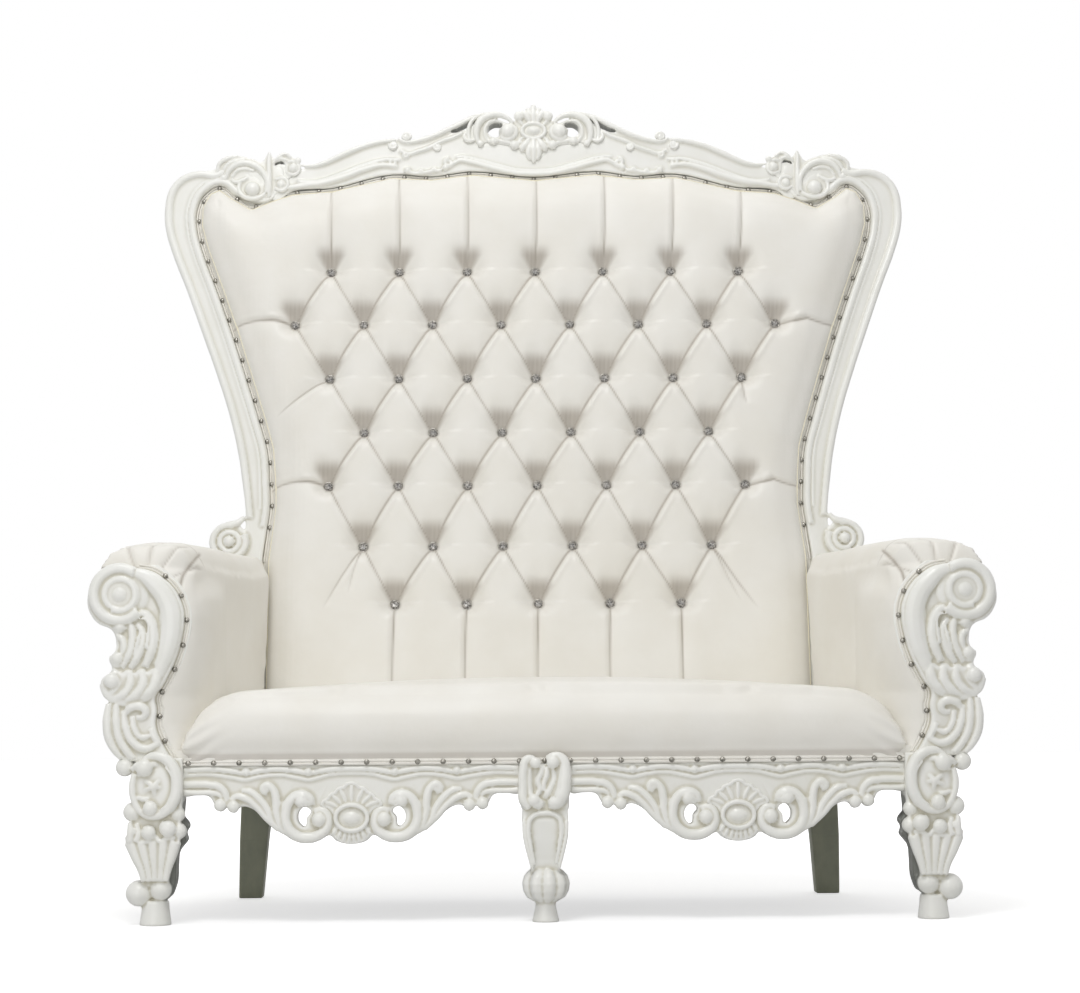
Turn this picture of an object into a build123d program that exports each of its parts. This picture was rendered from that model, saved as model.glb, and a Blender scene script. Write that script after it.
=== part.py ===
from build123d import *
import os
from math import cos, sin, tan, radians, hypot, pi

os.makedirs("parts", exist_ok=True)

# Double throne chair in millimetres. X runs across, +Y to the back, +Z up.
# The origin is on the floor under the middle of the chair's box.

# Overall sizes
half_width = 890.0           # to the outside of the arm scrolls
arm_height = 691.0           # top of the carved arm fronts
rail_top = 322.0             # top of the seat frame
rail_bottom = 262.0          # underside of the plain seat rails
apron_front = -400.0         # front face of the aprons
fit = 0.3                    # clearance between curved neighbours
overrun = 20.0               # how far a cutting shape runs past what it cuts

# Back frame, measured in its own leaning plane
lean = radians(9.0)
back_foot_y = 160.0          # the leaning plane meets the foot height here
back_foot_z = 300.0
back_width_share = 0.9584    # of the width over the arms
back_height = 1543.0
frame_rear = -28.0           # depths in the leaning plane, positive to the front
rebate_floor = -6.0
show_front = 8.0
carving_raise = 16.0
rebate_width = 26.0
board_thickness = 6.0
board_margin = 10.0
foam_thickness = 18.0
pad_crown = 56.0
pad_round = 120.0            # how far in from the nails the crown is reached
cover_overlap = 4.0
flange_thickness = 3.0
outside_thickness = 3.0
scroll_radius = 40.0
lower_rail_height = 60.0
cross_rail_height = 46.0
crest_end_share = 0.707      # the joints between crest rail and stiles

# Buttons, nails and gimp
button_radius = 9.5
button_height = 6.0
button_sides = 8
button_bevel = 45            # degrees of the crystal's upper facets
cup_radius = 11.0
cup_height = 4.0
button_depth = 30.0          # how far a button draws the cover below its crown
well_radius = 34.0
channel_width = 15.0
channel_depth = 14.0
tie_radius = 1.2
toggle_radius = 8.0
toggle_thickness = 2.0
nail_head_radius = 5.5
nail_head_height = 3.0
nail_shank_radius = 1.1
nail_shank_length = 10.0
nail_pitch = 50.0
gimp_width = 11.0
gimp_thickness = 1.5

# Seat
seat_crown = 140.0           # crown above the seat frame
seat_edge_drop = 37.0        # how much lower the crown is beside the arms
seat_bulge = 12.0            # how far the front stands past the aprons
seat_front_roll = 110.0      # depth over which the front rolls down
skirt_drop = 16.0
skirt_thickness = 6.0
cover_thickness = 3.0
deck_thickness = 1.5
wire_radius = 1.8
springs_each_side = 5
spring_first = 60.0
spring_pitch = 125.0
spring_swing = 24.0
spring_step = 40.0
spring_bend = 14.0
clip_length = 18.0
clip_width = 16.0
clip_wall = 2.0
dust_thickness = 1.0

# Rails, blocks and fasteners
apron_thickness = 38.0
side_rail_thickness = 35.0
back_rail_thickness = 60.0
centre_rail_width = 44.0
block_reach = 100.0
screw_radius = 2.5
screw_head_radius = 5.0
screw_head_height = 2.5
screw_length = 52.0
screw_place_share = 0.35     # along the corner blocks
dowel_radius = 6.0
dowel_length = 60.0
arm_dowel_shares = (0.50, 0.76)      # across the post, under the arm fronts
bolt_radius = 4.0
bolt_length = 90.0
bolt_drop = 9.0              # how far the back's bolts sit below the middle of their joint

# Arms
arm_board_front = -418.0
arm_board_step = -397.0      # front of the strip that takes the nails
arm_board_rear = -385.0
arm_strip_width = 14.0
volute_raise = 12.0
arm_splay = 0.19             # how far the arms close in for each unit of depth
# Places across the chair, as shares of the half width
arm_inner_share = 0.7933
arm_outer_share = 0.9056
arm_roll_outer_share = 0.9753
arm_roll_rise = 53.0         # top of the padded arms above their carved fronts
arm_roll_drop = 79.0         # underside of their rolls below the fronts' tops
arm_front_drop = 54.0
arm_front_roll = 95.0
arm_corner_share = 0.7       # the inner corner's radius as a share of the roll's
arc_share = 0.29             # where a quarter circle's middle lies, as a share of its radius
under_shares = (0.35, 0.25)  # where the roll's underside has its middle point
drop_shares = [(0.0, 1.0), (0.25, 0.45), (0.60, 0.12), (1.0, 0.0)]
arm_rail_size = 44.0
arm_rail_drop = 51.0         # underside of the arm rails below the fronts' tops
arm_panel_thickness = 12.0

# Legs
leg_inner_share = 0.7921
leg_outer_share = 0.8933
leg_post_front = -418.0
leg_post_rear = -345.0
leg_raise = 10.0
middle_half_width = 48.0
middle_block_bottom = 212.0
rear_leg_top_width = 70.0
rear_leg_top_depth = 60.0
rear_leg_foot_width = 51.0
rear_leg_foot_depth = 46.0
rear_leg_top_share = 0.6865
rear_leg_foot_share = 0.7169
rear_leg_sweep = 100.0
# Heights of the rear leg's sections as shares of its height, and how much of the sweep they take
rear_leg_bend_shares = [(1.0, 0.0), (0.5, 0.33), (0.0, 1.0)]

back_half_width = half_width * back_width_share
crest_end = back_half_width * crest_end_share
arm_inner = half_width * arm_inner_share
arm_outer = half_width * arm_outer_share
arm_roll_outer = half_width * arm_roll_outer_share
arm_roll_height = arm_height + arm_roll_rise
arm_roll_under = arm_height - arm_roll_drop
arm_rail_bottom = arm_height - arm_rail_drop
leg_inner = half_width * leg_inner_share
leg_outer = half_width * leg_outer_share
rear_leg_top_x = half_width * rear_leg_top_share
rear_leg_foot_x = half_width * rear_leg_foot_share

parts = {}
from_base = (Align.CENTER, Align.CENTER, Align.MIN)

# Shares of the back frame's half width and height. The nail line goes up the right side
# from the seat, round the shoulder and along the crest to the middle.
nail_line_shares = [
    (0.714, 0.022), (0.714, 0.290), (0.703, 0.340), (0.697, 0.369), (0.700, 0.410), (0.707, 0.455),
    (0.727, 0.495), (0.766, 0.564), (0.803, 0.628), (0.849, 0.700), (0.892, 0.765), (0.909, 0.800),
    (0.908, 0.832), (0.885, 0.857), (0.850, 0.866), (0.812, 0.850), (0.764, 0.834), (0.715, 0.846),
    (0.657, 0.857), (0.549, 0.862), (0.386, 0.883), (0.279, 0.880), (0.168, 0.888), (0.0, 0.879),
]
frame_outer_shares = [
    (0.800, 0.0), (0.800, 0.300), (0.767, 0.335), (0.767, 0.353), (0.777, 0.415), (0.787, 0.448),
    (0.812, 0.508), (0.848, 0.569), (0.891, 0.636), (0.936, 0.703), (0.979, 0.765), (0.996, 0.800),
    (1.0, 0.828), (0.992, 0.858), (0.972, 0.876), (0.940, 0.889), (0.900, 0.892), (0.860, 0.890),
    (0.820, 0.903), (0.760, 0.905), (0.707, 0.900), (0.636, 0.895), (0.578, 0.899), (0.511, 0.916),
    (0.454, 0.931), (0.387, 0.940), (0.336, 0.941), (0.300, 0.930), (0.261, 0.935), (0.211, 0.950),
    (0.151, 0.967), (0.068, 0.962), (0.030, 0.985), (0.0, 0.996),
]
cartouche_shares = [
    (0.0, 0.894), (0.025, 0.905), (0.060, 0.925), (0.115, 0.930), (0.165, 0.935), (0.175, 0.955),
    (0.151, 0.976), (0.107, 0.981), (0.068, 0.975), (0.035, 0.985), (0.014, 0.992), (0.0, 1.0),
]
shoulder_shares = [
    (0.860, 0.885), (0.842, 0.905), (0.802, 0.914), (0.761, 0.911), (0.726, 0.917), (0.682, 0.917),
    (0.634, 0.912), (0.640, 0.892), (0.645, 0.872), (0.682, 0.862), (0.715, 0.870), (0.735, 0.848),
    (0.764, 0.842), (0.790, 0.852), (0.800, 0.870), (0.830, 0.874),
]
scroll_place_share = (0.806, 0.318)
oval_place_share = 0.950
oval_size_shares = (0.033, 0.014)
cartouche_curl_shares = [(0.072, 0.952, 0.016)]
crest_curl_shares = [(0.275, 0.935, 0.013), (0.381, 0.932, 0.013), (0.336, 0.886, 0.010)]
shoulder_curl_shares = [(0.764, 0.856, 0.023), (0.654, 0.896, 0.017), (0.685, 0.870, 0.015)]
cross_rail_share = 0.55
# Rise of the back pad above its flange, and how far it is drawn in by then
pad_profile_shares = [(0.0, 0.0), (0.30, 0.02), (0.58, 0.10), (0.80, 0.30), (0.94, 0.60), (1.0, 1.0)]

# Button rows from the top: height as a share of the back, how many, and the outermost button
button_row_shares = [
    (0.723, 7, 0.546), (0.641, 8, 0.640), (0.558, 7, 0.546), (0.476, 6, 0.454),
    (0.396, 7, 0.546), (0.306, 6, 0.454), (0.221, 5, 0.371),
]

# Carved arm front: shares of the half width and of its height above the seat frame, up the
# inner edge and down the outer one
arm_inner_shares = [
    (0.816, 0.000), (0.836, 0.084), (0.849, 0.170), (0.847, 0.249), (0.851, 0.326), (0.837, 0.371),
    (0.822, 0.436), (0.808, 0.513), (0.796, 0.612), (0.789, 0.753), (0.796, 0.820), (0.810, 0.890),
    (0.835, 0.949), (0.861, 0.987), (0.891, 1.000),
]
arm_outer_shares = [
    (0.933, 0.998), (0.966, 0.968), (0.992, 0.903), (1.0, 0.830), (0.991, 0.753), (0.974, 0.715),
    (0.948, 0.680), (0.937, 0.644), (0.936, 0.581), (0.953, 0.526), (0.948, 0.474), (0.964, 0.419),
    (0.963, 0.365), (0.947, 0.307), (0.958, 0.238), (0.961, 0.184), (0.953, 0.105), (0.925, 0.000),
]
volute_place_share = (0.927, 0.848)
volute_ring_shares = [0.055, 0.045, 0.035, 0.024]
arm_curl_shares = [(0.916, 0.721, 0.016), (0.948, 0.526, 0.016), (0.940, 0.401, 0.022)]

# Front leg: shares of the half width and of the frame height
leg_ball_shares = [
    (0.911, 0.940, 0.056), (0.894, 0.693, 0.059), (0.852, 0.711, 0.047),
    (0.861, 0.571, 0.047), (0.817, 0.590, 0.056),
]
ankle_depth_share = 0.40
ankle_ball_shares = [(0.881, 0.217, 0.075), (0.834, 0.236, 0.075)]
leg_oval_share = (0.839, 0.810)
leg_oval_size_shares = (0.057, 0.188)
# Width limits, height and depth limits of the taper's sections, as shares of the half width,
# the frame height and the post's depth
leg_taper_shares = [
    (0.792, 0.912, 0.520, 0.0, 1.0), (0.797, 0.902, 0.430, 0.03, 0.95), (0.806, 0.880, 0.310, 0.10, 0.86),
    (0.812, 0.876, 0.200, 0.12, 0.84), (0.818, 0.877, 0.130, 0.16, 0.80),
]
leg_foot_place_share = 0.847
leg_foot_height_share = 0.145
leg_foot_radius_shares = (0.083, 0.096)

# Middle leg: width, height and depth shares as above, then its turned foot
middle_taper_shares = [(1.0, 0.660, 0.0, 1.0), (0.96, 0.640, 0.02, 0.98), (0.58, 0.322, 0.18, 0.82)]
middle_foot_shares = [
    (0.58, 0.330), (0.79, 0.295), (0.90, 0.224), (0.75, 0.155), (0.40, 0.130), (0.40, 0.121), (0.54, 0.0),
]

# Apron: how far each point lies from the shell's middle as a share of half the apron, and its
# height as a share of the frame height
apron_edge_shares = [
    (0.0, 0.478), (0.14, 0.500), (0.23, 0.488), (0.32, 0.500), (0.43, 0.553), (0.52, 0.618),
    (0.61, 0.683), (0.645, 0.634), (0.695, 0.615), (0.745, 0.621), (0.80, 0.689), (0.83, 0.776),
    (1.0, 0.776),
]
apron_hole_share = (0.24, 0.634)
apron_hole_size_shares = (0.065, 0.075)
shell_shares = [
    (0.0, 0.500), (0.10, 0.540), (0.13, 0.640), (0.17, 0.714), (0.12, 0.770), (0.06, 0.800), (0.0, 0.835),
]
shell_oval_share = 0.630
shell_oval_size_shares = (0.094, 0.078)
apron_curl_shares = [(0.20, 0.630, 0.047), (0.645, 0.655, 0.040), (0.745, 0.660, 0.040)]

# Seat pad's side view: the front's bulge and height, then the roll's depth and height
seat_front_shares = [(0.0, 0.0), (0.7, 0.18), (1.0, 0.40), (0.6, 0.58)]
seat_roll_shares = [(0.22, 0.80), (0.50, 0.93), (1.0, 1.0)]

back_plane = Plane(
    origin=(0, back_foot_y, back_foot_z),
    x_dir=(1, 0, 0),
    z_dir=(0, -cos(lean), sin(lean)),
)


def front_plane(depth):
    """An upright plane across the chair at this Y, whose normal points to the front."""
    return Plane(origin=(0, depth, 0), x_dir=(1, 0, 0), z_dir=(0, -1, 0))


def prism(plane, points, low, high):
    """A straight block between two depths above a plane, with the outline of these points."""
    outline = make_face(Polyline(*points, close=True))
    return plane.offset(low) * extrude(outline, amount=high - low)


def upright(points, front, rear):
    """A block with an outline in X and Z, between two depths of the chair."""
    return prism(front_plane(rear), points, 0, rear - front)


def level(points, low, high):
    """A block with an outline in X and Y, between two heights."""
    return prism(Plane.XY, points, low, high)


def scaled(shares, wide, high):
    return [(x * wide, z * high) for x, z in shares]


def loop_of(half):
    """A closed outline from its right half, which ends on the centre line."""
    return half + [(-x, v) for x, v in reversed(half[:-1])]


def inset(loop, amount):
    """The same outline moved inwards along the mean of the normals of each point's two sides."""
    moved = []
    for i, here in enumerate(loop):
        before = loop[i - 1]
        after = loop[(i + 1) % len(loop)]
        across = 0
        along = 0
        for start, end in ((before, here), (here, after)):
            run = hypot(end[0] - start[0], end[1] - start[1])
            across += (start[1] - end[1]) / run
            along += (end[0] - start[0]) / run
        stretch = 2 * amount / max(across ** 2 + along ** 2, 1)
        moved.append((here[0] + across * stretch, here[1] + along * stretch))
    return moved


def drawn_in(loop, amount):
    """The outline shrunk towards its middle, by this amount at its widest, all sides alike."""
    keep = 1 - amount / max(x for x, v in loop)
    middle = (min(v for x, v in loop) + max(v for x, v in loop)) / 2
    return [(x * keep, middle + (v - middle) * keep) for x, v in loop]


def faceted(sections):
    """A solid of flat facets through sections, each a depth and as many points as the next."""
    rings = [[Vector(x, y, depth) for x, y in points] for depth, points in sections]
    faces = [make_face(Polyline(*rings[0], close=True)), make_face(Polyline(*rings[-1], close=True))]
    for low, high in zip(rings, rings[1:]):
        for i in range(len(low)):
            after = (i + 1) % len(low)
            faces.append(make_face(Polyline(low[i], low[after], high[after], high[i], close=True)))
    return Solid(Shell(Face.sew_faces([face.face() for face in faces])[0]))


def shifted(chain, amount):
    """An open chain of points moved sideways, to the left of its direction."""
    moved = []
    for i, here in enumerate(chain):
        before = chain[max(i - 1, 0)]
        after = chain[min(i + 1, len(chain) - 1)]
        run = hypot(after[0] - before[0], after[1] - before[1])
        moved.append((
            here[0] + (before[1] - after[1]) / run * amount,
            here[1] + (after[0] - before[0]) / run * amount,
        ))
    return moved


def spaced(chain, pitch):
    """Points along an open chain at an even pitch, as near to the wanted one as fits."""
    lengths = [hypot(b[0] - a[0], b[1] - a[1]) for a, b in zip(chain, chain[1:])]
    count = round(sum(lengths) / pitch)
    places = []
    for i in range(count + 1):
        left = sum(lengths) * i / count
        for (a, b), length in zip(zip(chain, chain[1:]), lengths):
            if left <= length * (1 + 1e-9):
                places.append((a[0] + (b[0] - a[0]) * left / length, a[1] + (b[1] - a[1]) * left / length))
                break
            left -= length
    return places


def mirrored(shape):
    return mirror(shape, about=Plane.YZ)


def group(solids):
    return Compound(children=list(solids))


def both_sides(name, shape):
    parts[name + "_right"] = shape
    parts[name + "_left"] = mirrored(shape)


def lean_y(height, depth):
    """Y of the leaning plane, moved by a depth towards the front, at a height above the floor."""
    return back_foot_y + (height - back_foot_z) * tan(lean) - depth / cos(lean)


def splayed(x, y):
    """X at depth y of a line that runs back beside the arms from x at the arm fronts."""
    return x - arm_splay * (y - arm_board_rear)


def leaning_box(half_x, low_v, high_v, low, high):
    corners = [(-half_x, low_v), (half_x, low_v), (half_x, high_v), (-half_x, high_v)]
    return prism(back_plane, corners, low, high)


def leaning_disc(place, radius, low, high):
    return back_plane.offset(low) * Pos(place[0], place[1]) * extrude(Circle(radius), amount=high - low)


def cut_at_rail(shape):
    """Cuts the foot of a leaning piece level with the seat frame."""
    low = Box(4 * back_half_width, 2 * back_half_width, rail_top, align=from_base)
    return shape - low.moved(Location((0, back_foot_y, 0)))


# Back frame: one outline, cut into a crest rail and two stiles
nail_loop = loop_of(scaled(nail_line_shares, back_half_width, back_height))
outer_loop = loop_of(scaled(frame_outer_shares, back_half_width, back_height))
post_inner = nail_loop[0][0] - rebate_width
whole_board = prism(back_plane, outer_loop, frame_rear, rebate_floor)
whole_board -= prism(
    back_plane, inset(nail_loop, rebate_width), frame_rear - overrun, rebate_floor + overrun)
whole_show = prism(back_plane, outer_loop, rebate_floor, show_front)
whole_show -= prism(
    back_plane, inset(nail_loop, -cover_overlap - fit), rebate_floor - overrun, show_front + overrun)
whole_frame = whole_board + whole_show
crest_zone = leaning_box(crest_end, back_height * cross_rail_share, back_height + overrun,
                         frame_rear - overrun, show_front + overrun)
lower_zone = leaning_box(
    post_inner, 0, back_height * cross_rail_share, frame_rear - overrun, show_front + overrun)
left_zone = prism(back_plane, [(0, 0), (0, back_height), (-half_width, back_height), (-half_width, 0)],
                  frame_rear - overrun, show_front + overrun)
parts["crest_rail"] = whole_frame & crest_zone

scroll_place = (scroll_place_share[0] * back_half_width, scroll_place_share[1] * back_height)
stile = whole_frame - crest_zone - lower_zone - left_zone
stile += leaning_disc(scroll_place, scroll_radius, frame_rear, show_front)
stile += leaning_disc(scroll_place, scroll_radius / 2, show_front, show_front + carving_raise / 2)
both_sides("back_stile", cut_at_rail(stile))

opening = prism(back_plane, inset(nail_loop, rebate_width + fit), frame_rear, rebate_floor)
cross_rail_v = back_height * cross_rail_share
parts["back_cross_rail"] = opening & leaning_box(
    back_half_width, cross_rail_v - cross_rail_height, cross_rail_v, frame_rear, rebate_floor)
lower_rail = leaning_box(post_inner, 0, nail_loop[0][1] + lower_rail_height, frame_rear, rebate_floor)
parts["back_lower_rail"] = cut_at_rail(lower_rail)

crest_joint_v = (frame_outer_shares[20][1] + nail_line_shares[17][1]) / 2 * back_height
crest_dowel = Plane(
    origin=back_plane.from_local_coords((crest_end, crest_joint_v, (frame_rear + rebate_floor) / 2)),
    z_dir=(1, 0, 0),
) * Cylinder(dowel_radius, dowel_length)
dowels = [crest_dowel]

# Carvings applied over the middle of the crest and over its joints with the stiles


def curl(share, high):
    place = (share[0] * back_half_width, share[1] * back_height)
    return leaning_disc(place, share[2] * back_half_width, show_front, show_front + high)


cartouche = prism(back_plane, loop_of(scaled(cartouche_shares, back_half_width, back_height)),
                  show_front, show_front + carving_raise / 2)
oval = Ellipse(oval_size_shares[0] * back_half_width, oval_size_shares[1] * back_height)
cartouche += back_plane.offset(show_front) * Pos(0, oval_place_share * back_height) * extrude(
    oval, amount=carving_raise)
for share in cartouche_curl_shares:
    cartouche += curl(share, carving_raise)
    cartouche += mirrored(curl(share, carving_raise))
parts["crest_cartouche"] = cartouche

crest_curls = [curl(share, carving_raise / 2) for share in crest_curl_shares]
parts["crest_curls"] = group(crest_curls + [mirrored(shape) for shape in crest_curls])

shoulder = prism(back_plane, scaled(shoulder_shares, back_half_width, back_height),
                 show_front, show_front + carving_raise / 2)
for share in shoulder_curl_shares:
    shoulder += curl(share, carving_raise)
both_sides("shoulder_carving", shoulder)

# Stuffing of the back: a board in the rebate, a foam slab and the buttoned cover
board_face = rebate_floor + board_thickness
foam_face = board_face + foam_thickness
parts["back_board"] = prism(back_plane, inset(nail_loop, board_margin), rebate_floor, board_face)
parts["back_foam"] = prism(back_plane, inset(nail_loop, board_margin + fit), board_face, foam_face)
parts["outside_back"] = cut_at_rail(
    prism(back_plane, inset(nail_loop, -cover_overlap), frame_rear - outside_thickness, frame_rear))

flange_face = rebate_floor + flange_thickness
pad_foot = inset(nail_loop, gimp_width - cover_overlap + fit)
pad = back_plane * faceted([
    (flange_face + rise * (pad_crown - flange_face), drawn_in(pad_foot, share * pad_round))
    for rise, share in pad_profile_shares
])
pad += prism(back_plane, inset(nail_loop, -cover_overlap), rebate_floor, flange_face)

rows = []
for height, count, outermost in button_row_shares:
    places = [outermost * (2 * i / (count - 1) - 1) for i in range(count)]
    rows.append([(x * back_half_width, height * back_height) for x in places])
buttons = [place for row in rows for place in row]
links = []
for upper, lower in zip(rows, rows[1:]):
    pitch = upper[1][0] - upper[0][0]
    links += [(a, b) for a in upper for b in lower if abs(a[0] - b[0]) < pitch * 3 / 4]
crest_inner_v = back_height * nail_line_shares[-1][1]
for x, v in rows[0]:
    links.append(((x, v), (x, crest_inner_v)))
for x, v in rows[-1]:
    links.append(((x, v), (x, nail_loop[0][1])))
for row, reach in ((rows[1], nail_loop[8][0]), (rows[4], nail_loop[4][0])):
    links.append((row[0], (-reach, row[0][1])))
    links.append((row[-1], (reach, row[-1][1])))

seat_of_button = pad_crown - button_depth
cutters = []
well_sections = []
for depth, radius in ((0, cup_radius + flange_thickness), (button_depth, well_radius)):
    angles = [2 * pi * (i + 1 / 2) / button_sides for i in range(button_sides)]
    ring = [(radius * cos(angle), radius * sin(angle)) for angle in angles]
    well_sections.append((depth, ring))
well = faceted(well_sections)
for place in buttons:
    cutters.append(back_plane.offset(seat_of_button) * Pos(*place) * well)
for start, end in links:
    run = hypot(end[0] - start[0], end[1] - start[1])
    across = ((start[1] - end[1]) / run, (end[0] - start[0]) / run)
    groove = Plane(
        origin=back_plane.from_local_coords((start[0], start[1], pad_crown)),
        x_dir=back_plane.from_local_coords((across[0], across[1], 0)) - back_plane.origin,
        z_dir=back_plane.from_local_coords(((end[0] - start[0]) / run, (end[1] - start[1]) / run, 0))
        - back_plane.origin,
    )
    half_channel = channel_width / 2
    valley = make_face(Polyline(
        (-half_channel, 0), (0, channel_depth), (half_channel, 0), (0, -channel_depth), close=True))
    cutters.append(groove * extrude(valley, amount=run))
pad = pad.cut(*cutters)
pad -= prism(back_plane, inset(nail_loop, board_margin - fit), rebate_floor - overrun, foam_face)
parts["back_cover"] = cut_at_rail(pad)

crystal = extrude(RegularPolygon(button_radius, button_sides), amount=button_height / 2)
crystal += Pos(0, 0, button_height / 2) * extrude(
    RegularPolygon(button_radius, button_sides), amount=button_height / 2, taper=button_bevel)
cup = Cylinder(cup_radius, cup_height, align=from_base)
cup -= Pos(0, 0, cup_height / 3) * extrude(RegularPolygon(button_radius, button_sides), amount=cup_height)
tie_rear = rebate_floor - toggle_thickness
tie = Cylinder(tie_radius, seat_of_button - tie_rear, align=from_base)
tie += Cylinder(toggle_radius, toggle_thickness, align=from_base)


def at_buttons(shape, depth):
    return group([(back_plane.offset(depth) * Pos(*place)) * shape for place in buttons])


parts["button_crystals"] = at_buttons(crystal, seat_of_button + cup_height / 3)
parts["button_cups"] = at_buttons(cup, seat_of_button)
parts["button_ties"] = at_buttons(tie, tie_rear)

# Nails and gimp

nail = Cone(nail_head_radius, nail_head_radius * 3 / 4, nail_head_height / 2, align=from_base)
nail += Pos(0, 0, nail_head_height / 2) * Cone(
    nail_head_radius * 3 / 4, nail_head_radius / 4, nail_head_height / 2, align=from_base)
nail += Pos(0, 0, -nail_shank_length / 2) * Cylinder(nail_shank_radius, nail_shank_length)


def nails_on(plane, places):
    return group([(plane * Pos(*place)) * nail for place in places])


gimp_face = flange_face + gimp_thickness
gimp_outer = inset(nail_loop, -cover_overlap + fit)
gimp_inner = inset(nail_loop, -cover_overlap + gimp_width)
whole_chain = slice(2, len(nail_loop) - 2)
gimp_outline = gimp_outer[whole_chain] + list(reversed(gimp_inner[whole_chain]))
parts["back_gimp"] = prism(back_plane, gimp_outline, flange_face, gimp_face)
nail_line = inset(nail_loop, gimp_width / 2 - cover_overlap)
right_nails = spaced(nail_line[2:len(nail_line_shares)], nail_pitch)
left_nails = [(-x, v) for x, v in right_nails[:-1]]
parts["back_nails"] = nails_on(back_plane.offset(gimp_face), right_nails + left_nails)

# Seat frame
side_outer = arm_outer - outside_thickness
side_inner = side_outer - side_rail_thickness
back_rail_rear = lean_y(rail_top, frame_rear)
back_rail_front = back_rail_rear - back_rail_thickness
apron_rear = apron_front + apron_thickness
skirt_bottom = rail_top - skirt_drop

side_rail = level([
    (splayed(side_outer, leg_post_rear), leg_post_rear),
    (splayed(side_outer, back_rail_rear), back_rail_rear),
    (splayed(side_inner, back_rail_rear), back_rail_rear),
    (splayed(side_inner, leg_post_rear), leg_post_rear),
], rail_bottom, rail_top)
both_sides("seat_side_rail", side_rail)
back_rail_half = [
    (splayed(side_inner, back_rail_front), back_rail_front),
    (splayed(side_inner, back_rail_rear), back_rail_rear),
]
parts["seat_back_rail"] = level(
    back_rail_half + [(-x, y) for x, y in reversed(back_rail_half)], rail_bottom, rail_top)
centre_rail_half = centre_rail_width / 2
parts["seat_centre_rail"] = level([
    (-centre_rail_half, leg_post_rear), (centre_rail_half, leg_post_rear),
    (centre_rail_half, back_rail_front), (-centre_rail_half, back_rail_front),
], rail_bottom, rail_top)

apron_middle = (leg_inner + middle_half_width) / 2
apron_reach = (leg_inner - middle_half_width) / 2


def apron_point(share, side):
    return apron_middle + side * share[0] * apron_reach, share[1] * rail_top


apron_low = [apron_point(share, -1) for share in reversed(apron_edge_shares[1:])]
apron_low += [apron_point(share, 1) for share in apron_edge_shares]
apron = upright(
    apron_low + [(leg_inner, skirt_bottom), (middle_half_width, skirt_bottom)], apron_front, apron_rear)
apron += upright([
    (middle_half_width, skirt_bottom), (leg_inner, skirt_bottom),
    (leg_inner, rail_top), (middle_half_width, rail_top),
], apron_front + skirt_thickness, apron_rear)
for side in (-1, 1):
    hole = Ellipse(apron_hole_size_shares[0] * apron_reach, apron_hole_size_shares[1] * rail_top)
    x, z = apron_point(apron_hole_share, side)
    hole_way = front_plane(apron_rear + overrun) * Pos(x, z)
    apron -= hole_way * extrude(hole, amount=apron_thickness + 2 * overrun)
    for share in apron_curl_shares[1:]:
        x, z = apron_point(share, side)
        ball = Circle(share[2] * rail_top)
        apron += front_plane(apron_front) * Pos(x, z) * extrude(ball, amount=leg_raise)
both_sides("apron", apron)

shell_half = [apron_point(share, 1) for share in shell_shares]
shell = upright(shell_half + [apron_point(share, -1) for share in reversed(shell_shares[1:-1])],
                apron_front - leg_raise / 2, apron_front)
shell_oval = Ellipse(shell_oval_size_shares[0] * apron_reach, shell_oval_size_shares[1] * rail_top)
shell += front_plane(apron_front) * Pos(apron_middle, shell_oval_share * rail_top) * extrude(
    shell_oval, amount=leg_raise)
both_sides("apron_shell", shell)

front_block = level([
    (leg_inner - block_reach, apron_rear), (leg_inner, apron_rear), (leg_inner, leg_post_rear),
    (splayed(side_inner, leg_post_rear), leg_post_rear),
    (splayed(side_inner, leg_post_rear + block_reach), leg_post_rear + block_reach),
], rail_bottom, rail_top)
parts["front_corner_blocks"] = group([front_block, mirrored(front_block)])
rear_block = level([
    (splayed(side_inner, back_rail_front - block_reach), back_rail_front - block_reach),
    (splayed(side_inner, back_rail_front), back_rail_front),
    (splayed(side_inner, back_rail_front) - block_reach, back_rail_front),
], rail_bottom, rail_top)
parts["rear_corner_blocks"] = group([rear_block, mirrored(rear_block)])

screw = Cylinder(screw_radius, screw_length, align=from_base)
screw += Cylinder(screw_head_radius, screw_head_height, align=(Align.CENTER, Align.CENTER, Align.MAX))
rail_middle = (rail_top + rail_bottom) / 2
front_screw_x = leg_inner - block_reach * screw_place_share
rear_screw_x = splayed(side_inner, back_rail_front) - block_reach * screw_place_share
screws = []
for z in (rail_middle - screw_length / 4, rail_middle + screw_length / 4):
    front_start = (front_screw_x, apron_rear + screw_length / 2, z)
    rear_start = (rear_screw_x, back_rail_front - screw_length / 2, z)
    screws.append(Plane(origin=front_start, z_dir=(0, -1, 0)) * screw)
    screws.append(Plane(origin=rear_start, z_dir=(0, 1, 0)) * screw)
parts["corner_screws"] = group(screws + [mirrored(shape) for shape in screws])

# Springs, deck and dust cover
wire_height = rail_top + wire_radius
spring_front = apron_front + skirt_thickness + overrun / 2
spring_rear = back_rail_front + clip_length + 2 * clip_wall
spring_runs = int((spring_rear - spring_front - 2 * clip_length) / spring_step)
swing_start = (spring_front + spring_rear - (spring_runs - 1) * spring_step) / 2
turns = [
    (spring_swing * (-1) ** i, swing_start + i * spring_step, wire_height) for i in range(spring_runs)
]
spring_path = FilletPolyline(
    (0, spring_front, wire_height), (0, swing_start - spring_step / 2, wire_height), *turns,
    (0, swing_start + (spring_runs - 1 / 2) * spring_step, wire_height), (0, spring_rear, wire_height),
    radius=spring_bend,
)
spring = sweep(Plane(origin=spring_path @ 0, z_dir=(0, 1, 0)) * Circle(wire_radius), path=spring_path)
clip_height = 2 * wire_radius + clip_wall
clip = Box(clip_width, clip_length, clip_height, align=from_base)
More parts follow.
